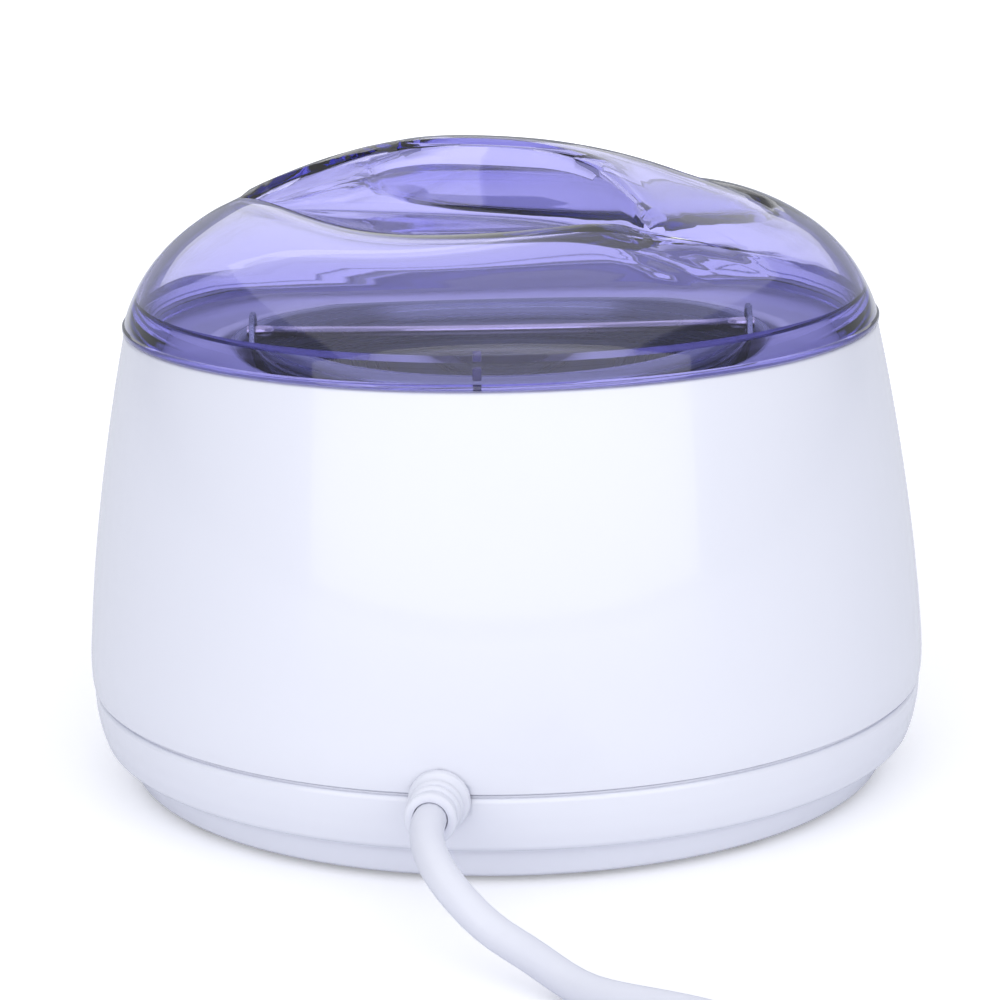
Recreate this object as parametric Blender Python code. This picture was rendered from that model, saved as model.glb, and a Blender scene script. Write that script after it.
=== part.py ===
"""A round salon wax warmer: a tapered shell with a heated well, a lift-out pot with a bail, a clear
moulded lid with two finger scoops, a thermostat knob on the front and a mains cord on the back.
+Z is up, the cord leaves at +Y and the knob faces -Y. The origin is on the table, under the middle."""

import math

import bmesh
import bpy
import numpy as np
from mathutils import Vector

MM = 0.001  # every length below is in millimetres, and the meshes are in metres
TAU = 2 * math.pi
GAP = 0.3  # clearance between pieces that touch on the real object

# Segments round a turned piece.
LARGE, MIDDLE, SMALL = 36, 20, 12

# Housing.
PARTING_Z = 20.2  # where the shell meets the base cover
SHELL_OUTSIDE = (
    (88.9, 20.45), (89.6, 26.0), (88.7, 38.0), (87.7, 48.0), (86.4, 58.0),
    (84.9, 68.0), (83.2, 78.0), (81.3, 88.0), (79.7, 96.0), (79.1, 96.6),
)
SHELL_DECK = ((76.6, 96.6), (76.2, 94.4), (75.8, 93.9), (63.0, 92.4), (61.2, 91.6), (60.6, 88.5))
SHELL_INSIDE = (
    (62.8, 88.5), (63.5, 90.0), (74.0, 91.4), (77.0, 92.5), (78.9, 88.0),
    (82.5, 68.0), (85.3, 48.0), (87.2, 26.0), (86.9, 20.45),
)
BASE_OUTSIDE = (
    (88.9, 19.95), (88.0, 12.5), (86.9, 9.0), (83.5, 7.4), (82.0, 6.2), (81.6, 4.0), (81.0, 1.7), (80.4, 1.2),
)
BASE_INSIDE = ((78.6, 3.4), (79.9, 7.2), (81.8, 8.9), (84.6, 10.4), (86.0, 13.0), (86.8, 19.95))
UNDERSIDE_Z, FLOOR_Z = 1.2, 3.4
POST_RING, POST_RADIUS, POST_TOP, PAD_TOP = 74.0, 4.0, 50.0, 5.6
POST_AZIMUTHS = [math.radians(45 + 90 * index) for index in range(4)]
POST_RIB = (10.6, 2.0, 26.0)
FOOT_RING, FOOT_RADIUS, FOOT_HEIGHT, PEG_RADIUS = 71.0, 6.0, 0.9, 2.2
FOOT_AZIMUTHS = [math.radians(20 + 90 * index) for index in range(4)]
VENT, VENT_RING = (20.0, 3.0, 8.0), 22.0
VENT_AZIMUTHS = [math.radians(60 * index) for index in range(6)]
SHANK_RADIUS, SHANK_HOLE = 1.4, 1.8

# Lid, in its own frame: the two scoops are the same shape half a turn apart.
LID_TURN = math.radians(188.4)
LID_WALL = 2.2
DOME_FOOT, DOME_HEIGHT, DOME_RADIUS, DOME_FLATNESS, DOME_POWER = 100.0, 35.0, 78.2, 2.2, 0.64
SCOOP_FLOOR, SCOOP_DRAFT, SCOOP_BOWL = 118.8, 4.0, 1.7
LIP_SAG, LIP_SPREAD = 5.0, 1.3  # how far a scoop's lip lies under the dome, and how soon that ends outside it
CREST = (
    (-58.5, 12.5), (-48.0, 13.6), (-36.0, 12.2), (-24.0, 7.6), (-12.0, 2.6), (0.0, -3.0),
    (10.8, -10.4), (17.4, -18.8), (23.4, -30.2), (27.3, -40.4), (31.0, -51.6),
)
SCOOP_EDGE = (
    (-58.5, 12.5), (-53.5, 3.0), (-48.6, -8.0), (-43.0, -20.5), (-33.0, -36.0),
    (-18.5, -46.5), (0.0, -50.2), (14.0, -48.2), (24.0, -46.6), (31.0, -51.6),
)
LID_RINGS = (71.0, 74.6, 77.2)  # the last is the crease at the top of the band
LID_BAND = (
    (78.5, 101.0), (79.5, 98.1), (79.9, 97.9), (79.9, 96.9),
    (75.7, 96.9), (75.7, 95.2), (73.7, 95.2), (73.7, 101.5),
)

# Pot and its bail.
POT_TURN = math.radians(8.4)
BEAD_RING, BEAD_Z, BEAD_RADIUS = 56.3, 91.9, 1.7
POT_OUTSIDE = ((55.2, 88.0), (51.2, 38.0), (50.0, 34.0), (47.5, 31.0), (44.0, 30.0), (0.0, 30.0))
POT_INSIDE = ((0.0, 31.2), (43.5, 31.2), (46.8, 32.3), (48.9, 34.8), (50.0, 38.0), (54.0, 86.0), (54.0, 91.9))
PIVOT_Z, EAR_X, EAR_THICK, RIVET_Z = 94.6, 52.0, 1.2, 86.0
BAIL_WIRE, BAIL_HALF_WIDTH, BAIL_REACH, BAIL_BEND, BAIL_END = 2.6, 49.5, 53.0, 2.2, 53.8
BAIL_DROP = math.radians(10.5)

# Heating well and its parts.
WELL = (
    (0.0, 29.7), (45.0, 29.7), (48.5, 30.5), (51.3, 34.5), (52.0, 38.0), (56.0, 88.2), (68.0, 88.2),
    (68.0, 87.0), (57.2, 87.0), (53.2, 38.0), (52.5, 34.0), (49.5, 29.6), (45.2, 28.5), (0.0, 28.5),
)
BOSS_RING, BOSS_RADIUS = 64.5, 3.2
BOSS_AZIMUTHS = [math.radians(30 + 120 * index) for index in range(3)]
HEATER = ((55.9, 66.0), (53.9, 42.0), (56.1, 42.0), (58.1, 66.0))
SLEEVE = ((62.8, 72.0), (59.2, 72.0), (59.2, 38.0), (62.8, 38.0))
SPLIT_AZIMUTH = math.pi  # where the heater band and the sleeve are open
HEATER_SPLIT, SLEEVE_SPLIT = math.radians(8.0), math.radians(16.0)
CLAMP_X, CLAMP_Z = -62.5, 54.0

# Thermostat and indicator on the front wall.
KNOB_RADIUS_AT_WALL, KNOB_Z, KNOB_TILT = 87.9, 46.0, math.radians(83.12)
KNOB_RADIUS, KNOB_FACE = 18.2, 12.7
LENS_RADIUS_AT_WALL, LENS_Z, LENS_TILT = 83.55, 76.0, math.radians(80.3)
BUSH_RADIUS, SHAFT_RADIUS, LENS_HOLE = 4.9, 3.0, 3.8

# Wiring inside the base.
CLAMP_Y, CLAMP_SPREAD, CLAMP_SIZE = 66.0, 8.2, (22.0, 8.0, 2.8)
INNER_CORD_Y = (80.6, 70.0, 59.5)
WIRE = 2.0
SUPPLY_WIRE = ((1.7, 58.9, 20.2), (1.8, 57.2, 20.0), (4.5, 55.6, 12.6), (6.0, 53.0, 9.4), (6.0, 50.5, 9.0))
THERMOSTAT_WIRE = (
    (-7.0, 37.6, 9.0), (-8.0, 32.0, 8.6), (-13.0, 18.0, 7.0), (-20.0, -20.0, 8.0), (-14.0, -58.0, 22.0),
    (-6.0, -66.8, 38.0),
)
HEATER_WIRE = ((7.0, 37.6, 9.0), (7.6, 33.5, 9.0), (20.0, 27.0, 11.0), (34.0, 32.0, 20.0), (40.2, 38.2, 37.0))

# Mains cord: it leaves the back, lies on the table and is wound into a tied coil beside its plug.
CORD = 6.4
RELIEF_Z, RELIEF_START, RELIEF_END = 20.2, 80.9, 101.5
RUN = (
    (0.0, 101.9, 20.2), (0.0, 105.5, 20.2), (-1.0, 111.5, 19.1), (-4.0, 118.0, 16.7), (-9.0, 123.5, 13.3),
    (-15.5, 127.0, 8.6), (-22.5, 131.0, 6.8), (-30.0, 135.5, 3.3), (-36.5, 141.5, 3.3), (-50.0, 145.0, 3.3),
    (-62.5, 151.5, 3.3), (-73.5, 160.0, 3.3), (-82.5, 170.0, 3.5), (-88.5, 180.5, 3.8),
)
COIL_CENTRE, COIL_INNER, COIL_OUTER, COIL_BOTTOM, COIL_TOP = (-51.3, 210.8), 23.8, 44.6, 0.9, 13.7
TAIL = (
    (-32.7, 255.0, 10.5), (-26.0, 255.6, 10.1), (-18.0, 255.2, 7.8), (-9.0, 252.6, 5.8), (-0.5, 247.4, 5.0),
    (6.0, 240.4, 5.6), (10.6, 233.2, 6.6), (13.08, 226.64, 6.9),
)
TIE_AZIMUTH, TIE_THICK, TIE_WIDTH = math.radians(143.4), 0.5, 6.0
PLUG_AT, PLUG_TURN, PLUG_LENGTH = (13.08, 226.34, 6.9), math.radians(188.4), 36.0
PLUG_HALF_THICK = 6.8
PIN_RADIUS, PIN_LENGTH, PIN_PITCH = 2.0, 19.0, 18.6


def clear_scene():
    for obj in list(bpy.data.objects):
        bpy.data.objects.remove(obj)


def material(name, colour, roughness, metallic=0.0, transmission=0.0):
    made = bpy.data.materials.new(name)
    made.use_nodes = True
    made.diffuse_color = (*colour, 1.0)
    shader = made.node_tree.nodes["Principled BSDF"]
    shader.inputs["Base Color"].default_value = (*colour, 1.0)
    shader.inputs["Roughness"].default_value = roughness
    shader.inputs["Metallic"].default_value = metallic
    shader.inputs["Transmission Weight"].default_value = transmission
    return made


def empty(name, at, rotation=(0.0, 0.0, 0.0), parent=None):
    """A frame to build in. `at` is in millimetres, in the parent's frame."""
    made = bpy.data.objects.new(name, None)
    bpy.context.scene.collection.objects.link(made)
    made.location = Vector(at) * MM
    made.rotation_euler = rotation
    made.parent = parent
    return made


def place(name, mesh, look=None, at=(0.0, 0.0, 0.0), rotation=(0.0, 0.0, 0.0), parent=None):
    made = bpy.data.objects.new(name, mesh)
    bpy.context.scene.collection.objects.link(made)
    made.location = Vector(at) * MM
    made.rotation_euler = rotation
    made.parent = parent
    if look:
        mesh.materials.append(look)
    else:
        made.hide_render = True
        made.display_type = "WIRE"
    return made


def mesh_of(name, bm, sharp=math.radians(35)):
    bmesh.ops.recalc_face_normals(bm, faces=bm.faces)
    mesh = bpy.data.meshes.new(name)
    bm.to_mesh(mesh)
    bm.free()
    mesh.shade_smooth()
    mesh.set_sharp_from_angle(angle=sharp)
    return mesh


def turned(name, outline, segments, sweep=TAU, start=0.0):
    """A closed (radius, height) outline turned about Z. Under a full turn, both ends are capped."""
    bm = bmesh.new()
    whole = sweep > TAU - 1e-6
    rings = []
    for radius, height in outline:
        if radius == 0.0:
            rings.append([bm.verts.new((0.0, 0.0, height * MM))] * (segments + 1))
            continue
        ring = []
        for step in range(segments if whole else segments + 1):
            x, y, _ = round_at(radius, start + sweep * step / segments)
            ring.append(bm.verts.new(Vector((x, y, height)) * MM))
        rings.append(ring + ring[:1] if whole else ring)
    for first, second in zip(rings, rings[1:] + rings[:1]):
        for step in range(segments):
            corners = (first[step], first[step + 1], second[step + 1], second[step])
            distinct = list(dict.fromkeys(corners))
            if len(distinct) > 2:
                bm.faces.new(distinct)
    if not whole:
        bm.faces.new([ring[0] for ring in rings])
        bm.faces.new([ring[-1] for ring in rings])
    return mesh_of(name, bm)


def peg(name, radius, bottom, top, segments=SMALL):
    return turned(name, ((0.0, top), (radius, top), (radius, bottom), (0.0, bottom)), segments)


def block(name, size, rounding=0.0):
    bm = bmesh.new()
    bmesh.ops.create_cube(bm, size=1.0)
    bmesh.ops.scale(bm, vec=Vector(size) * MM, verts=bm.verts)
    if rounding:
        bmesh.ops.bevel(bm, geom=bm.edges[:], offset=rounding * MM, segments=2, profile=0.5, affect="EDGES")
    return mesh_of(name, bm)


def extruded(name, outline, thickness):
    """An outline in X and Z, extruded along Y from 0 to `thickness`."""
    bm = bmesh.new()
    corners = [bm.verts.new(Vector((x, 0.0, z)) * MM) for x, z in outline]
    face = bm.faces.new(corners)
    grown = bmesh.ops.extrude_face_region(bm, geom=[face])["geom"]
    moved = [item for item in grown if isinstance(item, bmesh.types.BMVert)]
    bmesh.ops.translate(bm, vec=(0.0, thickness * MM, 0.0), verts=moved)
    return mesh_of(name, bm)


def smooth_line(points, count):
    """`count` + 1 points evenly spaced along a cubic B-spline that the given points steer."""
    known = np.array(points, float)
    padded = np.vstack((2 * known[0] - known[1], known, 2 * known[-1] - known[-2]))
    dense = [known[0]]
    for a, b, c, d in zip(padded, padded[1:], padded[2:], padded[3:]):
        for t in np.linspace(0.0, 1.0, 33)[1:]:
            weights = ((1 - t) ** 3, 3 * t**3 - 6 * t**2 + 4, -3 * t**3 + 3 * t**2 + 3 * t + 1, t**3)
            dense.append(sum(weight * corner for weight, corner in zip(weights, (a, b, c, d))) / 6)
    dense = np.array(dense)
    along = np.concatenate(([0.0], np.cumsum(np.linalg.norm(np.diff(dense, axis=0), axis=1))))
    wanted = np.linspace(0.0, along[-1], count + 1)
    return np.column_stack([np.interp(wanted, along, dense[:, axis]) for axis in range(known.shape[1])])


def tube(name, points, diameter, look, parent=None, detail=2):
    """A round wire or cord: a curve with a bevel and filled caps. Its section has 2 * (detail + 2) sides."""
    curve = bpy.data.curves.new(name, "CURVE")
    curve.dimensions = "3D"
    curve.bevel_depth = diameter / 2 * MM
    curve.bevel_resolution = detail
    curve.use_fill_caps = True
    spline = curve.splines.new("POLY")
    spline.points.add(len(points) - 1)
    for place_on, point in zip(spline.points, points):
        place_on.co = (*(Vector(point) * MM), 1.0)
    return place(name, curve, look, parent=parent)


def boolean(target, tool, operation="DIFFERENCE"):
    modifier = target.modifiers.new(f"{operation.lower()} {tool.name}", "BOOLEAN")
    modifier.operation = operation
    modifier.object = tool


def round_at(ring, azimuth, height=0.0):
    return (ring * math.cos(azimuth), ring * math.sin(azimuth), height)


def screw_mesh(name, head_radius, head_height, length):
    """A pan-head screw that points up +Z, with its head below 0."""
    outline = (
        (0.0, length), (SHANK_RADIUS * 0.7, length), (SHANK_RADIUS, length - 1.2), (SHANK_RADIUS, 0.0),
        (head_radius, 0.0), (head_radius, -0.5 * head_height),
        (0.7 * head_radius, -head_height), (0.0, -head_height),
    )
    return turned(name, outline, 10)


# ---------------------------------------------------------------- housing


def body_shell(look):
    shell = place("body_shell", turned("body_shell", SHELL_OUTSIDE + SHELL_DECK + SHELL_INSIDE, LARGE), look)
    post = peg("post", POST_RADIUS, PAD_TOP + GAP, POST_TOP, 16)
    pilot = peg("post pilot", SHANK_HOLE - 0.1, PAD_TOP, PARTING_Z, 12)
    rib = block("post rib", POST_RIB)
    for index, azimuth in enumerate(POST_AZIMUTHS):
        boolean(shell, place(f"post {index}", post, at=round_at(POST_RING, azimuth)), "UNION")
        web = place(f"post rib {index}", rib, at=round_at(81.3, azimuth, 37.0), rotation=(0, 0, azimuth))
        boolean(shell, web, "UNION")
        boolean(shell, place(f"post pilot {index}", pilot, at=round_at(POST_RING, azimuth)))
    boss = peg("well boss", BOSS_RADIUS, 88.5, 91.2, 16)
    boss_pilot = peg("well boss pilot", SHANK_HOLE - 0.1, 88.0, 91.0, 12)
    for index, azimuth in enumerate(BOSS_AZIMUTHS):
        boolean(shell, place(f"well boss {index}", boss, at=round_at(BOSS_RING, azimuth)), "UNION")
        boolean(shell, place(f"well boss pilot {index}", boss_pilot, at=round_at(BOSS_RING, azimuth)))
    return shell


def base_cover(look):
    outline = BASE_OUTSIDE + ((0.0, UNDERSIDE_Z), (0.0, FLOOR_Z)) + BASE_INSIDE
    base = place("base_cover", turned("base_cover", outline, LARGE), look)
    pad = peg("screw pad", 5.0, 3.0, PAD_TOP)
    section = ((0.0, 8.0), (SHANK_HOLE, 8.0), (SHANK_HOLE, 3.6), (3.5, 3.6), (3.5, 0.0), (0.0, 0.0))
    hole = turned("screw hole", section, SMALL)
    peg_hole = peg("foot hole", PEG_RADIUS + GAP, 0.0, 5.0, 12)
    for index, (screw_azimuth, foot_azimuth) in enumerate(zip(POST_AZIMUTHS, FOOT_AZIMUTHS)):
        boolean(base, place(f"screw pad {index}", pad, at=round_at(POST_RING, screw_azimuth)), "UNION")
        boolean(base, place(f"screw hole {index}", hole, at=round_at(POST_RING, screw_azimuth)))
        boolean(base, place(f"foot hole {index}", peg_hole, at=round_at(FOOT_RING, foot_azimuth)))
    vent = block("vent slot", VENT)
    for index, azimuth in enumerate(VENT_AZIMUTHS):
        slot = place(f"vent slot {index}", vent, at=round_at(VENT_RING, azimuth, 2.3), rotation=(0, 0, azimuth))
        boolean(base, slot)
    pillar = block("clamp pillar", (*CLAMP_SIZE[:2], 13.7))
    boolean(base, place("clamp pillar", pillar, at=(0.0, CLAMP_Y, 9.85)), "UNION")
    pilot = peg("clamp pilot", SHANK_HOLE - 0.2, 7.0, 18.0, 12)
    for side in (-1, 1):
        boolean(base, place(f"clamp pilot {side}", pilot, at=(CLAMP_SPREAD * side, CLAMP_Y, 0.0)))
    return base


def feet(look):
    outline = (
        (0.0, 3.2), (PEG_RADIUS, 3.2), (PEG_RADIUS, FOOT_HEIGHT), (FOOT_RADIUS, FOOT_HEIGHT),
        (FOOT_RADIUS, 0.3), (FOOT_RADIUS - 0.4, 0.0), (0.0, 0.0),
    )
    mesh = turned("foot", outline, SMALL)
    for index, azimuth in enumerate(FOOT_AZIMUTHS):
        place(f"foot_{index + 1}", mesh.copy(), look, at=round_at(FOOT_RING, azimuth))


def base_screws(look):
    for index, azimuth in enumerate(POST_AZIMUTHS):
        mesh = screw_mesh("base_screw", 3.0, 1.8, 12.0)
        place(f"base_screw_{index + 1}", mesh, look, at=round_at(POST_RING, azimuth, PAD_TOP - 2.0 - GAP))


# ---------------------------------------------------------------- lid


def dome_height(radius):
    return DOME_FOOT + DOME_HEIGHT * (1.0 - (radius / DOME_RADIUS) ** DOME_FLATNESS) ** DOME_POWER


def on_dome(points):
    """Flat (x, y) points lifted onto the dome."""
    return np.column_stack((points, dome_height(np.linalg.norm(points, axis=1))))


def half_turn(points):
    return points * np.array((-1.0, -1.0, 1.0))


def scoop_patch(crest, edge, wall_steps, bowl_steps):
    """Rows from the sharp crest, down the wall to the floor, and up the bowl to the soft outer edge."""
    reach = np.linalg.norm(edge[:, :2] - crest[:, :2], axis=1)
    wall = np.minimum(SCOOP_DRAFT / np.maximum(reach, 1e-6), 0.35)[:, None]
    floor = np.minimum(np.minimum(crest[:, 2], edge[:, 2]), SCOOP_FLOOR)[:, None]
    top, lip = crest[:, 2:], edge[:, 2:]
    floor[0], floor[-1] = top[0], top[-1]
    rows = []
    for part in np.linspace(0.0, 1.0, wall_steps + 1):
        flat = crest[:, :2] + (edge - crest)[:, :2] * wall * part
        rows.append(np.hstack((flat, top + (floor - top) * (1.0 - (1.0 - part) ** 2.2))))
    for part in np.linspace(0.0, 1.0, bowl_steps + 1)[1:]:
        flat = crest[:, :2] + (edge - crest)[:, :2] * (wall + (1.0 - wall) * part)
        rows.append(np.hstack((flat, floor + (lip - floor) * part**SCOOP_BOWL)))
    return rows


def ridge_patch(crest, steps):
    """Rows across the grip ridge, from one crest to the other. Its two ends bulge out to the dome."""
    other = half_turn(crest[::-1])
    count = len(crest) - 1
    to_end = np.minimum(np.arange(count + 1), np.arange(count, -1, -1))
    near_end = np.maximum(0.0, 1.0 - to_end / (0.16 * count)) ** 2
    rows = []
    for part in np.linspace(0.0, 1.0, steps + 1):
        row = crest + (other - crest) * part
        radius = np.linalg.norm(row[:, :2], axis=1)
        wanted = np.linalg.norm(crest[:, :2], axis=1)
        wanted = wanted + (np.linalg.norm(other[:, :2], axis=1) - wanted) * part
        bulge = 1.0 + near_end * (wanted / np.maximum(radius, 1e-6) - 1.0)
        row[:, :2] *= bulge[:, None]
        on_round = dome_height(np.linalg.norm(row[:, :2], axis=1))
        row[:, 2] += near_end * (on_round - row[:, 2])
        rows.append(row)
    return rows


def lid_mesh(along, wall_steps, bowl_steps, ridge_steps, ring_steps):
    bm = bmesh.new()

    def add(points):
        return [bm.verts.new(Vector(point) * MM) for point in points]

    def skin(rows, closed=False):
        for first, second in zip(rows, rows[1:]):
            count = len(first) if closed else len(first) - 1
            for step in range(count):
                after = (step + 1) % len(first)
                bm.faces.new((first[step], first[after], second[after], second[step]))

    crest = on_dome(smooth_line(CREST, along))
    edge = on_dome(smooth_line(SCOOP_EDGE, along))
    edge[:, 2] -= LIP_SAG * np.sin(np.linspace(0.0, math.pi, along + 1))
    scoop = scoop_patch(crest, edge, wall_steps, bowl_steps)
    ridge = ridge_patch(crest, ridge_steps)
    skin([add(row) for row in scoop])
    skin([add(half_turn(row)) for row in scoop])
    skin([add(row) for row in ridge])
    right_end = np.array([row[-1] for row in ridge])[1:-1]
    left_end = np.array([row[0] for row in ridge[::-1]])[1:-1]
    loop = np.vstack((edge, right_end, half_turn(edge), left_end))
    angles = np.unwrap(np.arctan2(loop[:, 1], loop[:, 0]))
    even = angles[0] + TAU * np.arange(len(loop)) / len(loop)
    radii = np.linalg.norm(loop[:, :2], axis=1)
    sag = dome_height(radii) - loop[:, 2]
    rings = [add(loop)]
    for step in range(1, ring_steps + 1):
        part = step / ring_steps
        angle = angles + (even - angles) * part
        radius = radii + (LID_RINGS[0] - radii) * part
        height = dome_height(radius) - sag * (1.0 - part) ** LIP_SPREAD
        rings.append(add(np.column_stack((radius * np.cos(angle), radius * np.sin(angle), height))))
    circle = np.column_stack((np.cos(even), np.sin(even)))
    for radius in LID_RINGS[1:]:
        height = np.full(len(loop), dome_height(radius))
        rings.append(add(np.column_stack((circle * radius, height))))
    skin(rings, closed=True)
    crease = [tuple(vertex.co) for vertex in rings[-1]]
    bmesh.ops.remove_doubles(bm, verts=bm.verts, dist=0.001 * MM)
    bmesh.ops.recalc_face_normals(bm, faces=bm.faces)
    top = max(bm.faces, key=lambda face: face.calc_center_median().z)
    if top.normal.z < 0:
        bmesh.ops.reverse_faces(bm, faces=bm.faces)
    bm.normal_update()
    outer = list(bm.verts)
    faces = list(bm.faces)
    inner = {vertex: bm.verts.new(vertex.co - vertex.normal * LID_WALL * MM) for vertex in outer}
    for face in faces:
        bm.faces.new([inner[vertex] for vertex in reversed(face.verts)])
    found = {tuple(vertex.co): vertex for vertex in outer}
    top_ring = [found[key] for key in crease]
    band = [top_ring]
    for radius, height in LID_BAND:
        band.append(add(np.column_stack((circle * radius, np.full(len(circle), height)))))
    band.append([inner[vertex] for vertex in top_ring])
    skin(band, closed=True)
    return mesh_of("lid", bm, math.radians(30))


# ---------------------------------------------------------------- pot


def wax_pot(look, frame):
    bead = []
    for step in range(9):
        angle = math.radians(150 - 37.5 * step)
        bead.append((BEAD_RING + BEAD_RADIUS * math.cos(angle), BEAD_Z + BEAD_RADIUS * math.sin(angle)))
    pot = place("wax_pot", turned("wax_pot", tuple(bead) + POT_OUTSIDE + POT_INSIDE, LARGE), look, parent=frame)
    hole = peg("rivet hole", 1.5, 50.0, 60.0, 12)
    for side in (-1, 1):
        outwards = (0.0, side * math.pi / 2, 0.0)
        cutter = place(f"rivet hole {side}", hole, at=(0.0, 0.0, RIVET_Z), rotation=outwards, parent=frame)
        boolean(pot, cutter)


def pot_ears(look, rivet_look, frame):
    outline = [(-6.0, 82.5), (6.0, 82.5), (6.0, 89.5)]
    for step in range(9):
        angle = math.pi * step / 8
        outline.append((4.2 * math.cos(angle), PIVOT_Z + 4.2 * math.sin(angle)))
    outline.append((-6.0, 89.5))
    for side, word in ((-1, "left"), (1, "right")):
        turn = (0.0, 0.0, -side * math.pi / 2)
        ear = place(f"pot_ear_{word}", extruded("ear", outline, EAR_THICK), look, rotation=turn, parent=frame)
        ear.location.x = side * EAR_X * MM
        outwards = (0.0, side * math.pi / 2, 0.0)
        for height, radius in ((PIVOT_Z, BAIL_WIRE / 2 + 0.4), (RIVET_Z, 1.5)):
            hole = peg(f"ear hole {word} {height}", radius, 45.0, 60.0, 12)
            boolean(ear, place(hole.name, hole, at=(0, 0, height), rotation=outwards, parent=frame))
        section = ((0.0, 54.9), (1.2, 54.9), (1.2, 51.7), (2.5, 51.7), (2.0, 50.9), (0.0, 50.7))
        rivet = turned("rivet", section, SMALL)
        place(f"ear_rivet_{word}", rivet, rivet_look, at=(0.0, 0.0, RIVET_Z), rotation=outwards, parent=frame)


def bail_handle(look, frame):
    """Half an ellipse of wire whose two ends turn outwards through the ears."""
    arc = []
    for step in range(21):
        angle = math.pi * step / 20
        reach = BAIL_BEND + (BAIL_REACH - BAIL_BEND) * math.sin(angle)
        arc.append((BAIL_HALF_WIDTH * math.cos(angle), -reach, 0.0))
    turn = []
    for step in range(1, 5):
        angle = math.pi / 2 * step / 4
        out = BAIL_BEND * (1.0 - math.cos(angle))
        turn.append((BAIL_HALF_WIDTH + out, -BAIL_BEND * (1.0 - math.sin(angle)), 0.0))
    turn.append((BAIL_END, 0.0, 0.0))
    mirrored = [(-x, y, z) for x, y, z in turn]
    tube("bail_handle", turn[::-1] + arc + mirrored, BAIL_WIRE, look, parent=frame)


# ---------------------------------------------------------------- heater


def heating_well(look):
    well = place("heating_well", turned("heating_well", WELL, LARGE), look)
    hole = peg("well hole", SHANK_HOLE, 80.0, 95.0, 12)
    for index, azimuth in enumerate(BOSS_AZIMUTHS):
        boolean(well, place(f"well hole {index}", hole, at=round_at(BOSS_RING, azimuth)))


def well_screws(look):
    for index, azimuth in enumerate(BOSS_AZIMUTHS):
        mesh = screw_mesh("well_screw", 2.6, 1.5, 4.0)
        place(f"well_screw_{index + 1}", mesh, look, at=round_at(BOSS_RING, azimuth, 86.7))


def heater(band_look, bolt_look, sleeve_look):
    start = SPLIT_AZIMUTH + HEATER_SPLIT
    mesh = turned("heater_band", HEATER, LARGE, TAU - 2 * HEATER_SPLIT, start)
    band = place("heater_band", mesh, band_look)
    lug = block("heater lug", (10.0, 3.0, 14.0))
    for side in (-1, 1):
        boolean(band, place(f"heater lug {side}", lug, at=(-61.0, 7.9 * side, CLAMP_Z)), "UNION")
    bolt_hole = peg("bolt hole", SHANK_HOLE, -20.0, 20.0, 12)
    across = (math.pi / 2, 0.0, 0.0)
    boolean(band, place("bolt hole", bolt_hole, at=(CLAMP_X, 0.0, CLAMP_Z), rotation=across))
    bolt = (
        (0.0, 12.4), (2.6, 12.4), (3.0, 12.0), (3.0, 9.7), (SHANK_RADIUS, 9.7), (SHANK_RADIUS, -9.7),
        (3.0, -9.7), (3.0, -12.0), (SHANK_RADIUS, -12.0), (SHANK_RADIUS, -13.6), (0.0, -13.6),
    )
    mesh = turned("heater_clamp_bolt", bolt, 6)
    place("heater_clamp_bolt", mesh, bolt_look, at=(CLAMP_X, 0.0, CLAMP_Z), rotation=across)
    start = SPLIT_AZIMUTH + SLEEVE_SPLIT
    mesh = turned("insulation_sleeve", SLEEVE, LARGE - 4, TAU - 2 * SLEEVE_SPLIT, start)
    place("insulation_sleeve", mesh, sleeve_look)


def thermal_fuse(fuse_look, clip_look):
    outline = (
        (0.0, 8.0), (0.5, 8.0), (0.5, 6.0), (2.0, 5.4), (2.0, -5.4), (0.5, -6.0), (0.5, -8.0), (0.0, -8.0),
    )
    mesh = turned("thermal_fuse", outline, SMALL)
    place("thermal_fuse", mesh, fuse_look, at=(0, 0, 25.5), rotation=(0, math.pi / 2, 0))
    strap = (
        (-9.0, 28.2), (-4.0, 28.2), (-3.2, 23.0), (3.2, 23.0), (4.0, 28.2), (9.0, 28.2),
        (9.0, 27.2), (4.8, 27.2), (4.0, 22.0), (-4.0, 22.0), (-4.8, 27.2), (-9.0, 27.2),
    )
    mesh = extruded("fuse_clip", strap, 6.0)
    place("fuse_clip", mesh, clip_look, at=(-3.0, 0.0, 0.0), rotation=(0.0, 0.0, -math.pi / 2))


# ---------------------------------------------------------------- thermostat, knob and lamp


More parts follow.
